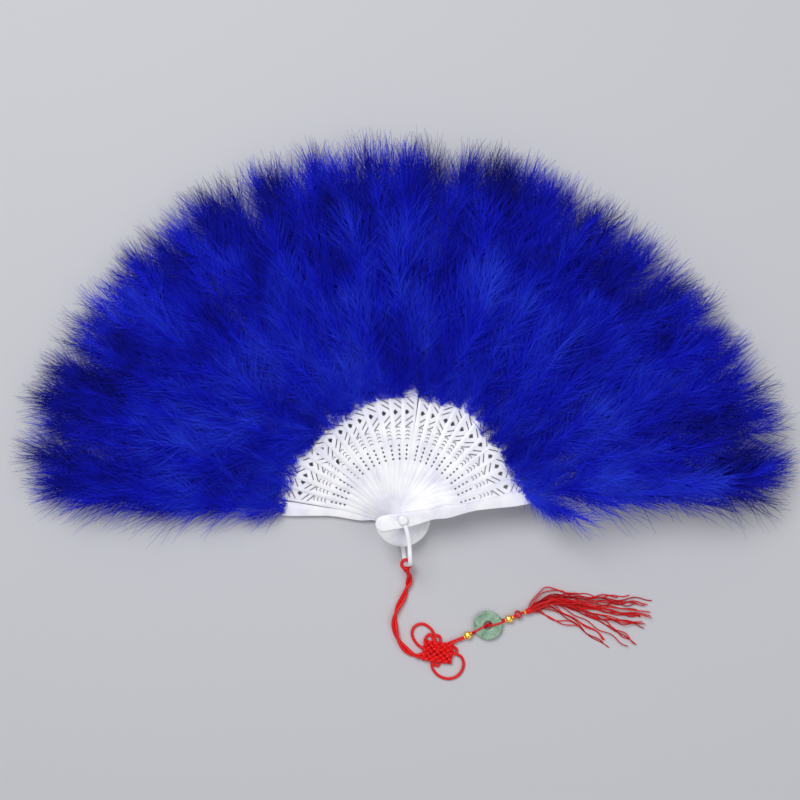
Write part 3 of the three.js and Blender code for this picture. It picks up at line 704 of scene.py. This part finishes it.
def makeTassel():
    draw = np.random.default_rng(tassel["seed"])
    bead = sum(np.array(x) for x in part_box("end_bead")) / 2
    start = np.array([*tassel["place"], bead[2]])
    way = (start - bead) / np.linalg.norm(start - bead)
    radius = tassel["diameter"] / 2
    tubes = []
    for k, (route, count) in enumerate(zip(lockRoutes, tassel["threadsPerLock"])):
        for j in range(count):
            isCore = k == tassel["coreLock"] and j == 0
            path, lane = threadAlong(route, start, isCore, draw)
            if isCore:
                core = path
                coreMesh = joinTubes("tassel_core_thread", [(path, radius, tassel["coreSides"], None, lane)])
            else:
                tubes.append((path, radius, tassel["sides"], None, lane))
    shares = np.linspace(0, 1, tasselHead["points"])
    headPath = np.array([start + way * (tasselHead["start"] + tasselHead["length"] * x) for x in shares])
    radii = np.interp(shares, np.linspace(0, 1, len(tasselHead["radii"])), tasselHead["radii"]) * mm
    tubes.append((headPath, radii, tasselHead["sides"], layRelief(*tasselHead["lay"])))
    coreThread = finishPiece(coreMesh, "tassel_thread", "tassel")
    rest = finishPiece(joinTubes("tassel_threads", tubes), "tassel_thread", "tassel")
    return coreThread, core, rest


def declareCord(path):
    round(lengthOf(path), 3)


upper, lower = upperPaths(), lowerPaths()
upperStrands = makeStrands("upper_cord", "upper_strand", upper, upperCord)
lowerStrands = makeStrands("lower_cord", "lower_strand", lower, lowerCord)
hitchPiece, knotPiece = makeHitch(), makeKnot()
coreThread, corePath, threads = makeTassel()
print("cords ready")


# A mesh without doubles, changed by a function of its bmesh, with sharp edges from an angle in degrees
def reworked(mesh, doubles, sharp, change=None):
    work = bmesh.new()
    work.from_mesh(mesh)
    bmesh.ops.remove_doubles(work, verts=work.verts, dist=doubles)
    if change:
        change(work)
    bmesh.ops.recalc_face_normals(work, faces=work.faces)
    work.to_mesh(mesh)
    work.free()
    mesh.set_sharp_from_angle(angle=math.radians(sharp))
    return mesh


lathe = {"doubles": mm * mm, "sharp": 50}


# A closed profile of radius and length turned round +Z, or round +X with lobes
def turnedMesh(name, profile, sides, lobes=0, depth=0):
    points, faces = [], []
    for radius, along in profile:
        for k in range(sides):
            turn = circle * k / sides
            reach = radius * (1 + depth * math.cos(lobes * turn)) if lobes else radius
            a, b = reach * math.cos(turn), reach * math.sin(turn)
            points.append((along, a, b) if lobes else (a, b, along))
    count = len(profile)
    for ring in range(count):
        for k in range(sides):
            low, high = ring * sides, (ring + 1) % count * sides
            faces.append([low + k, low + (k + 1) % sides, high + (k + 1) % sides, high + k])
    return reworked(meshFrom(name, points, faces), lathe["doubles"], lathe["sharp"])


def placed(mesh, centre, angle):
    mesh.transform(Matrix.Translation(centre) @ Matrix.Rotation(angle, 4, "Z"))
    return mesh


# A flat ring's section with round edges, as radius and height
def roundedProfile(inner, outer, half, edge, steps=5):
    corners = [(outer - edge, half - edge, 0), (inner + edge, half - edge, 1), (inner + edge, edge - half, 2),
               (outer - edge, edge - half, 3)]
    profile = []
    for radius, height, quarter in corners:
        for k in range(steps + 1):
            a = (quarter + k / steps) * math.pi / 2
            profile.append((radius + edge * math.cos(a), height + edge * math.sin(a)))
    return profile


def roundShape(steps, end):
    return [(math.sin(a) / 2, math.cos(a)) for a in np.linspace(-end, end, steps)]


# Beads, with their shapes as shares of their length and radius, from the middle of the gold ones to an end
beadSides = 64
leastWall = 1.02  # of the bore's radius
goldHalf = [(0, 1), (0.12, 0.99), (0.24, 0.92), (0.34, 0.7), (0.39, 0.46), (0.42, 0.52), (0.47, 0.52),
            (0.5, 0.42)]
goldBead = {
    "shape": [(-along, out) for along, out in goldHalf[:0:-1]] + goldHalf,
    "lobes": 8, "depth": 0.055, "bore": 0.36, "finish": "gold",
}
redBead = {
    "shape": roundShape(steps=25, end=1.15), "lobes": 6, "depth": 0.02, "bore": 0.3,
    "finish": "red_glaze",
}
endBead = {
    "shape": roundShape(steps=15, end=0.95), "lobes": 10, "depth": 0.05, "bore": 0.5, "finish": "gold",
}


# Direction of the lower cord beside a place
def cordAngle(place):
    path = (lower[0] + lower[1]) / 2
    near = 6  # points of the path to each side
    k = int(np.argmin(np.linalg.norm(path[:, :2] - np.array(place.xy), axis=1)))
    k = min(max(k, near), len(path) - near - 1)
    way = path[k + near] - path[k - near]
    return math.atan2(way[1], way[0])


def makeBead(node, bead, angle):
    low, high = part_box(node)
    radius = (high.z - low.z) / 2
    length = (high.x - low.x - 2 * radius * abs(math.sin(angle))) / abs(math.cos(angle))
    hole = bead["bore"] * radius
    outside = [(max(radius * out, hole * leastWall), length * along) for along, out in bead["shape"]]
    profile = [(hole, outside[0][1]), *outside, (hole, outside[-1][1])]
    mesh = turnedMesh(node + "_piece", profile, beadSides, bead["lobes"], bead["depth"])
    return finishPiece(placed(mesh, middleOf(node), angle), bead["finish"], node)


def makeBeads():
    gold = [makeBead(node, goldBead, cordAngle(middleOf(node))) for node in ("gold_bead_1", "gold_bead_2")]
    axis = math.atan2(*reversed((middleOf("end_bead") - middleOf("red_bead")).xy))
    return [*gold, makeBead("red_bead", redBead, axis), makeBead("end_bead", endBead, axis)]


disc = {"edge": 0.9 * mm, "edgeSteps": 7, "sides": 96, "bore": 3.1 * mm}


def makeDisc():
    low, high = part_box("jade_disc")
    profile = roundedProfile(disc["bore"], (high.x - low.x) / 2, (high.z - low.z) / 2, disc["edge"],
                             disc["edgeSteps"])
    mesh = placed(turnedMesh("stone_disc", profile, disc["sides"]), middleOf("jade_disc"), 0)
    return finishPiece(mesh, "jade", "jade_disc")


onCord = [*makeBeads(), makeDisc()]
declareCord(upper[0])
declareCord(upper[1])
declareCord(lower[0])
declareCord(lower[1])
declareCord(corePath)
print("beads and disc ready")


# Ribs and guards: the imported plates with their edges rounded. Angles are in degrees.
stave = {
    "ribEdge": 0.13 * mm, "guardEdge": 0.22 * mm, "segments": 2, "profile": 0.5, "flat": 2, "sharp": 24,
    "shadedSharp": 40, "doubles": mm / 500,
}
guards = ("rear_guard", "front_guard")
staveNodes = [guards[0], *sorted(n for n in frame["nodes"] if n.startswith("rib_")), guards[1]]


def roundedCopy(name, node, edge):
    mesh = frame["nodes"][node].data.copy()
    mesh.name = name
    flat, sharp = math.radians(stave["flat"]), math.radians(stave["sharp"])

    def roundEdges(work):
        bmesh.ops.dissolve_limit(work, angle_limit=flat, verts=work.verts, edges=work.edges)
        corners = [e for e in work.edges if e.is_manifold and e.calc_face_angle(0) > sharp]
        bmesh.ops.bevel(work, geom=corners, offset=edge, segments=stave["segments"],
                        profile=stave["profile"], affect="EDGES", clamp_overlap=True)

    return reworked(mesh, stave["doubles"], stave["shadedSharp"], roundEdges)


def makeStaves():
    for node in staveNodes:
        mesh = roundedCopy(node + "_plate", node, stave["guardEdge" if node in guards else "ribEdge"])
        finishPiece(mesh, "white_plastic", node)


makeStaves()
print("staves ready")


# Pin, cap and bail
pivot = {"sides": 64, "headEdge": 0.3 * mm, "shaft": 1.25 * mm, "head": 1 * mm, "bore": 1.55 * mm,
         "boreDepth": 0.8 * mm, "capEdge": 0.6 * mm, "capRim": 0.2 * mm, "domeSteps": 14}


def makePin():
    low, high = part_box("pivot_pin")
    radius, edge = high.x, pivot["headEdge"]
    profile = [(0, low.z), (radius - edge, low.z), (radius, low.z + edge), (radius, pivot["head"] - edge),
               (radius - edge, pivot["head"]), (pivot["shaft"], pivot["head"]), (pivot["shaft"], high.z),
               (0, high.z)]
    finishPiece(turnedMesh("pin", profile, pivot["sides"]), "white_plastic", "pivot_pin")


def makeCap():
    low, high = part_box("pin_cap")
    radius, rim = high.x, pivot["capRim"]
    rise = high.z - low.z - pivot["capEdge"]
    dome = [(radius * math.cos(a), low.z + pivot["capEdge"] + rise * math.sin(a))
            for a in np.linspace(0, math.pi / 2, pivot["domeSteps"])]
    inside = low.z + pivot["boreDepth"]
    profile = [(0, inside), (pivot["bore"], inside), (pivot["bore"], low.z), (radius - rim, low.z),
               (radius, low.z + rim), *dome]
    finishPiece(turnedMesh("cap", profile, pivot["sides"]), "white_plastic", "pin_cap")


# Its legs bow to their sides by shares of the bow, at shares of their length, and at steps round the corner
bail = {
    "length": 32.2 * mm, "width": 3 * mm, "thickness": 1.34 * mm, "corner": 6 * mm, "bow": 2.6 * mm,
    "eye": 3.4 * mm, "eyeThickness": 1.4 * mm, "eyeEdge": 0.35 * mm, "angle": -84.1, "start": 2 * mm,
    "square": 3, "step": 0.5 * mm, "sides": 20, "points": 900,
    "legShares": [(0, 0), (0.3, 0.72), (0.62, 1), (0.85, 0.92)], "cornerShares": [0.84, 0.73, 0.6],
}


# A strap with a rounded section, bowed to its sides, between two eyes on the pin
def makeBail():
    low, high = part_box("bail")
    thick = bail["eyeThickness"]
    rear, front = low.z + thick / 2, high.z - thick / 2
    straight = bail["length"] - bail["corner"]
    half = [(along * straight, -side * bail["bow"], rear) for along, side in bail["legShares"]]
    for k, side in enumerate(bail["cornerShares"]):
        a = k * math.pi / 4
        half.append((straight + bail["corner"] * math.sin(a), -side * bail["bow"],
                     rear + bail["corner"] * (1 - math.cos(a))))
    points = half + [(x, -y, front + rear - z) for x, y, z in reversed(half)]
    path, _ = curveThrough(points, np.linspace(0, 1, bail["points"]))
    path = evenly(path[np.linalg.norm(path[:, :2], axis=1) > bail["start"]], bail["step"])
    across, through, power = bail["width"] / 2, bail["thickness"] / 2, bail["square"]

    def section(turn, along):
        a, b = abs(math.cos(turn)) / across, abs(math.sin(turn)) / through
        return (a ** power + b ** power) ** (-1 / power) / mm - 1

    strap = joinTubes("bail_strap", [(path, mm, bail["sides"], section)])
    work = bmesh.new()
    work.from_mesh(strap)
    for z in (rear, front):
        profile = roundedProfile(pivot["bore"], bail["eye"], thick / 2, bail["eyeEdge"])
        ring = placed(turnedMesh("eye", profile, pivot["sides"]), (0, 0, z), 0)
        work.from_mesh(ring)
        bpy.data.meshes.remove(ring)
    work.to_mesh(strap)
    work.free()
    strap.transform(Matrix.Rotation(math.radians(bail["angle"]), 4, "Z"))
    finishPiece(strap, "white_plastic", "bail")


makePin()
makeCap()
makeBail()
print("pin, cap and bail ready")


# Feathers: a barb is a thin curved fibre, with a bend and wave for each kind, a plume is a quill with its
# barbs, and a stave carries a row of plumes. Angles are in degrees.
barb = {
    "points": 4, "sides": 3, "radius": 0.23 * mm, "taper": 0.75, "waves": 5,
    "kinds": [(5 * mm, 1.2 * mm), (10 * mm, -1 * mm), (1 * mm, 1.6 * mm)],
}
plume = {
    "barbs": 90, "rootAngle": 56, "tipAngle": 21, "angleSpread": 20, "roll": 60, "length": 29 * mm,
    "tipShare": 0.56, "fullTurn": 2.5, "fullStart": 0.35, "variety": 0.3,
    "quill": 38 * mm, "rise": 5 * mm, "archTurn": 2.2, "quillRadius": 0.3 * mm, "quillTaper": 0.8,
    "quillPoints": 6, "quillSides": 4,
}
tree = {
    "plumes": 34, "outerPlumes": 24, "variants": 5, "overhang": 58 * mm, "rootPart": 0.16, "fullness": 1.16,
    "yaw": 14, "rootYaw": 50, "low": -15, "high": 13, "roll": 40, "rootWidth": 7 * mm, "tipWidth": 12.5 * mm,
    "smallest": 0.58, "growth": 4, "sizes": (0.92, 1.08), "below": 6 * mm, "above": 11 * mm, "upward": 0.65,
    "room": 22 * mm, "rootRise": 2.5 * mm, "droop": 0.42, "droopStart": 0.17, "droopRun": 0.09,
    "clump": 10 * mm, "clumpRoot": 0.3, "clumpTip": 0.7, "clumpScale": 46, "ground": 0.3 * mm,
    "flatten": 0.03, "deepest": 25 * mm, "ceiling": 46 * mm, "press": 0.47, "ownShade": 0.7,
    "depthShadeShare": 0.3, "tuftShare": 0.8, "laneShare": 0.19, "laneWidth": 0.008, "mapMargin": 0.01,
    "startSpread": 5 * mm, "tipFrom": 0.19, "seed": 8, "seedStep": 13, "variantStep": 5, "clumpStep": 0.37,
}
# How far the feathers reach at angles from +X, in degrees and millimetres
reaches = [(2, 260), (8, 281), (14, 280), (20, 275), (26, 271), (38, 268), (50, 265), (62, 267), (74, 271),
           (86, 266), (98, 269), (112, 272), (134, 273), (150, 275), (162, 280), (168, 277), (174, 266),
           (178, 256)]
# Where they begin, over the ends of the ribs
starts = [(4, 88), (18, 85), (45, 83), (62, 85), (86, 87), (98, 88), (108, 86), (125, 83), (150, 81),
          (176, 85)]
# Directions at which they end past the rear guard and the front guard
featherEdges = [173.5, 6]
# Turns of the rows on a stave that has more than one: the front guard's second row leans out past it
rowTurns = {"front_guard": [0, -8]}


def newTree(name, inputs):
    made = bpy.data.node_groups.new(name, "GeometryNodeTree")
    for label, kind in inputs.items():
        made.interface.new_socket(label, in_out="INPUT", socket_type="NodeSocket" + kind)
    made.interface.new_socket("Geometry", in_out="OUTPUT", socket_type="NodeSocketGeometry")
    nodes = Nodes(made)
    return made, nodes, nodes.add("GroupInput")


def chance(seed, step, low=0, high=1):
    inputs = {2: low, 3: high, 8: seed * tree["seedStep"] + step}
    return seed.nodes.add("RandomValue", inputs, 1, data_type="FLOAT")


def stored(geometry, name, value, domain="POINT", kind="FLOAT"):
    inputs = {"Geometry": geometry, "Name": name, "Value": value}
    return geometry.nodes.add("StoreNamedAttribute", inputs, data_type=kind, domain=domain)


def kept(nodes, name):
    return nodes.add("InputNamedAttribute", {"Name": name}, data_type="FLOAT")


def along(nodes):
    return nodes.add("SplineParameter", output="Factor")


def lineTo(nodes, end, count):
    line = nodes.add("CurvePrimitiveLine", {"Start": (0, 0, 0), "End": end})
    return nodes.add("ResampleCurve", {"Curve": line, "Count": count}, mode="COUNT")


# A tube of this size along a line. It keeps how far along it and round it each point is.
def tubeRound(line, sides, size):
    nodes = line.nodes
    line = stored(line, "along", along(nodes))
    profile = nodes.add("CurvePrimitiveCircle", {0: sides, 4: 1})
    profile = stored(profile, "side", along(nodes))
    inputs = {"Curve": line, "Profile Curve": profile, "Scale": size, "Fill Caps": True}
    return nodes.add("CurveToMesh", inputs)


def barbTree():
    made, nodes, given = newTree("barb", {"Bend": "Float", "Wave": "Float"})
    t = along(nodes)
    aside = nodes.vector(given.other("Bend") * t * t, (t * barb["waves"]).sine() * given.other("Wave"), 0)
    inputs = {"Geometry": lineTo(nodes, (0, 0, 1), barb["points"]), "Offset": aside}
    line = nodes.add("SetPosition", inputs)
    fibre = tubeRound(line, barb["sides"], barb["radius"] * (1 - t * barb["taper"]))
    nodes.add("GroupOutput", {0: fibre})
    return made


# Places along a quill, which arches up
def onQuill(t):
    return t.nodes.vector(plume["quill"] * t, 0, (t * plume["archTurn"]).sine() * plume["rise"])


def quillTube(nodes):
    t = along(nodes)
    inputs = {"Geometry": lineTo(nodes, (1, 0, 0), plume["quillPoints"]), "Position": onQuill(t)}
    line = stored(nodes.add("SetPosition", inputs), "lane", 0.5)
    return tubeRound(line, plume["quillSides"], plume["quillRadius"] * (1 - t * plume["quillTaper"]))


# A group's geometry on points, made with each of some sets of inputs by turns
def onPoints(points, group, kinds, turned, size):
    nodes = points.nodes
    made = [nodes.add("GeometryNodeGroup", x, node_tree=group) for x in kinds]
    made = [nodes.add("GeometryToInstance", {0: x}) for x in made]
    return nodes.add("InstanceOnPoints", {
        "Points": points, "Instance": nodes.add("JoinGeometry", {0: made}), "Pick Instance": True,
        "Instance Index": nodes.add("InputIndex"), "Rotation": turned, "Scale": size,
    })


# Barbs stand to both sides of the quill in turn, and each is one of the kinds
def plumeTree(barbs):
    made, nodes, given = newTree("plume", {"Seed": "Int"})
    seed = given.other("Seed")
    index = nodes.add("InputIndex")
    t = (index + 0.5) / plume["barbs"]
    points = nodes.add("Points", {"Count": plume["barbs"], "Position": onQuill(t)})
    spread, most = math.radians(plume["angleSpread"]), math.radians(plume["roll"])
    angle = mixed(t, math.radians(plume["rootAngle"]), math.radians(plume["tipAngle"]))
    angle = angle + chance(seed, 1, -spread, spread)
    roll = chance(seed, 2, -most, most)
    side = index % 2 * 2 - 1
    way = nodes.vector(angle.cosine(), angle.sine() * roll.cosine() * side, angle.sine() * roll.sine())
    turned = nodes.add("AlignRotationToVector", {"Vector": way}, axis="Z")
    inputs = {"Rotation": turned, "Vector": (1, 0, 0)}
    turned = nodes.add("AlignRotationToVector", inputs, axis="X", pivot_axis="Z")
    fullness = (t * plume["fullTurn"] + plume["fullStart"]).sine()
    fullness = fullness * (1 - plume["tipShare"]) + plume["tipShare"]
    reach = plume["length"] * fullness * chance(seed, 3, 1 - plume["variety"], 1 + plume["variety"])
    kinds = [{"Bend": bend, "Wave": wave} for bend, wave in barb["kinds"]]
    fibres = onPoints(points, barbs, kinds, turned, nodes.vector(1, 1, reach))
    fibres = stored(fibres, "lane", chance(seed, 4), "INSTANCE")
    joined = nodes.add("JoinGeometry", {0: [fibres, quillTube(nodes)]})
    nodes.add("GroupOutput", {0: nodes.add("RealizeInstances", {0: joined})})
    return made


# A row along +X: its plumes are smaller and turn further aside at the root. The whole is then gathered
# into clumps, drooped towards the tips, and pressed together at its top and over the floor.
def staveTree(plumes):
    made, nodes, given = newTree("feathersOfStave", {
        "Seed": "Int", "Plumes": "Int", "First": "Float", "Reach": "Float", "Height": "Float",
        "Spread": "Float", "Material": "Material",
    })
    seed, count, first, height = [given.other(x) for x in ("Seed", "Plumes", "First", "Height")]
    variants = [{"Seed": seed * tree["variantStep"] + k} for k in range(tree["variants"])]
    index = nodes.add("InputIndex")
    order = (index + chance(seed, 1)) / count * (1 + tree["rootPart"]) - tree["rootPart"]
    share = (order.atLeast(0) * tree["fullness"]).atMost(1)
    x = first + share * (given.other("Reach") - tree["overhang"] - first)
    width = mixed(share, tree["rootWidth"], given.other("Spread") * tree["tipWidth"])
    y = chance(seed, 2, -1, 1) * width
    growth = (share * tree["growth"]).atMost(1)
    lift = chance(seed, 4) ** tree["upward"]
    room = (height / tree["room"]).atMost(1)
    rise = mixed(lift, room * -tree["below"], tree["above"])
    z = height + mixed(growth, tree["rootRise"], rise)
    points = nodes.add("Points", {"Count": count, "Position": nodes.vector(x, y, z)})
    yaw, rootYaw, low, high, most = [math.radians(tree[x]) for x in ("yaw", "rootYaw", "low", "high", "roll")]
    pitch = mixed(lift, room * low, high)
    aside = chance(seed, 5, -1, 1) * mixed(growth, rootYaw, yaw)
    roll = chance(seed, 6, -most, most)
    size = mixed(growth, tree["smallest"], 1) * chance(seed, 7, *tree["sizes"])
    turned = nodes.add("EulerToRotation", {0: nodes.vector(roll, pitch * -1, aside)})
    grown = onPoints(points, plumes, variants, turned, nodes.vector(size, size, size))
    # Painted shade: each plume's tone is random, and darker the lower it sits, for the shade deep in the
    # fluff
    toneAndDepthShade = chance(seed, 8) * tree["ownShade"] + lift * tree["depthShadeShare"]
    grown = stored(grown, "tuft", toneAndDepthShade, "INSTANCE")
    grown = nodes.add("RealizeInstances", {0: grown})
    place = nodes.add("InputPosition")
    fromRoot = kept(nodes, "along")
    wander = noise(place + seed * tree["clumpStep"], tree["clumpScale"]).other("Color") - 0.5
    wander = wander * (fromRoot * tree["clumpTip"] + tree["clumpRoot"]) * tree["clump"]
    x, y, z = (place + wander).split()
    outer = ((x - tree["droopStart"]) / tree["droopRun"]).atLeast(0)
    z = z * (1 - outer * outer * tree["droop"])
    z = z - (z - tree["ceiling"]).atLeast(0) * tree["press"]
    low = z * tree["flatten"] + (tree["ground"] + tree["deepest"] * tree["flatten"])
    inputs = {"Geometry": grown, "Position": nodes.vector(x, y, z.atLeast(low))}
    grown = nodes.add("SetPosition", inputs)
    across = kept(nodes, "tuft") * tree["tuftShare"] + kept(nodes, "lane") * tree["laneShare"]
    across = across + kept(nodes, "side") * tree["laneWidth"]
    mapped = nodes.vector(across, fromRoot * (1 - 2 * tree["mapMargin"]) + tree["mapMargin"], 0)
    grown = stored(grown, mapName, mapped, "CORNER", "FLOAT2")
    grown = nodes.add("SetShadeSmooth", {0: grown})
    finished = nodes.add("SetMaterial", {0: grown, 2: given.other("Material")})
    nodes.add("GroupOutput", {0: finished})
    return made


def grownMesh(name, group, values):
    holder = newObject(name, bpy.data.meshes.new(name))
    modifier = holder.modifiers.new("feathers", "NODES")
    modifier.node_group = group
    sockets = {x.name: x.identifier for x in group.interface.items_tree if x.in_out == "INPUT"}
    for label, value in values.items():
        modifier[sockets[label]] = value
    seen = holder.evaluated_get(bpy.context.evaluated_depsgraph_get())
    mesh = bpy.data.meshes.new_from_object(seen)
    holder.modifiers.remove(modifier)
    bpy.data.meshes.remove(holder.data)
    mesh.name = name
    return mesh


# Direction of a stave's stick, from its outer end
def staveAngle(node):
    points = np.array([v.co for v in frame["nodes"][node].data.vertices])
    far = points[np.linalg.norm(points[:, :2], axis=1) > tree["tipFrom"]]
    return math.atan2(far[:, 1].mean(), far[:, 0].mean())


# A row of plumes on each stave, turned and widened to fill the space between its neighbours
def makeFeathers():
    draw = np.random.default_rng(tree["seed"])
    group = staveTree(plumeTree(barbTree()))
    angles = [math.degrees(staveAngle(node)) for node in staveNodes]
    edges = [featherEdges[0], *[(a + b) / 2 for a, b in zip(angles, angles[1:])], featherEdges[1]]
    mean = (edges[0] - edges[-1]) / len(angles)
    seed = 0
    for k, (node, angle) in enumerate(zip(staveNodes, angles)):
        centre, spread = (edges[k] + edges[k + 1]) / 2, (edges[k] - edges[k + 1]) / mean
        early = draw.uniform(-1, 1) * tree["startSpread"]
        for row in rowTurns.get(node, [0]):
            seed += 1
            lean = centre - angle + row
            tip = angle + lean / 2
            reach, first = [float(np.interp(tip, *zip(*table))) * mm for table in (reaches, starts)]
            first += early
            name = f"feathers_{k + 1:02}" + "_outer" * (row != 0)
            mesh = grownMesh(name, group, {
                "Seed": seed, "Plumes": tree["outerPlumes" if row else "plumes"], "First": first,
                "Reach": reach, "Height": heightOf(node), "Spread": spread, "Material": finishes["feathers"],
            })
            root = Matrix.Translation((first, 0, 0))
            leaning = root @ Matrix.Rotation(math.radians(lean), 4, "Z") @ root.inverted()
            mesh.transform(Matrix.Rotation(math.radians(angle), 4, "Z") @ leaning)
            finishPiece(mesh, "feathers", f"plume_{k // 2 + 1:02}", body=bodyOf[node])


makeFeathers()
print("feathers ready")


# Plain pale floor and backdrop, and soft light from above: each lamp's place, size and power
studio = {
    "floor": 3, "worldColour": linear(218, 219, 223), "fillStrength": 0.45,
    "lamps": [((-0.5, 0.75, 1.6), 1.0, 19), ((0.9, -0.2, 1.5), 1.4, 6.5)], "target": (0, 0.08, 0),
}


floorLook = {"constants": {"Base Color": linear(200, 201, 206)}, "cloud": 3, "gloss": (0.75, 0.85)}


def varyFloor(nodes, look):
    return {"Roughness": mixed(noise(objectPlace(nodes), look["cloud"]), *look["gloss"])}


def makeStudio():
    half = studio["floor"] / 2
    corners = [(-half, -half, 0), (half, -half, 0), (half, half, 0), (-half, half, 0)]
    mesh = meshFrom("floor", corners, [(0, 1, 2, 3)])
    mesh.materials.append(newFinish("paleFloor", varyFloor, floorLook))
    newObject("floor", mesh)
    for k, (place, size, power) in enumerate(studio["lamps"], 1):
        data = bpy.data.lights.new(f"lamp{k}", "AREA")
        data.shape = "DISK"
        data.size = size
        data.energy = power
        lamp = newObject(data.name, data)
        lamp.location = place
        lamp.rotation_euler = (Vector(studio["target"]) - Vector(place)).to_track_quat("-Z", "Y").to_euler()


# A pale background that lights the fan less than it shows
def makeBackdrop():
    scene.world = bpy.data.worlds.new("backdrop")
    nodes = emptyTree(scene.world)
    path = nodes.add("LightPath", output="Is Camera Ray")
    seen = path.atLeast(path.other("Is Glossy Ray")).atLeast(path.other("Is Transmission Ray"))
    colour = studio["worldColour"]
    shown = nodes.add("Background", {"Color": colour, "Strength": 1})
    filling = nodes.add("Background", {"Color": colour, "Strength": studio["fillStrength"]})
    surface = nodes.add("MixShader", {0: seen, 1: filling, 2: shown})
    nodes.add("OutputWorld", {"Surface": surface})


makeStudio()
makeBackdrop()
print("scene ready")
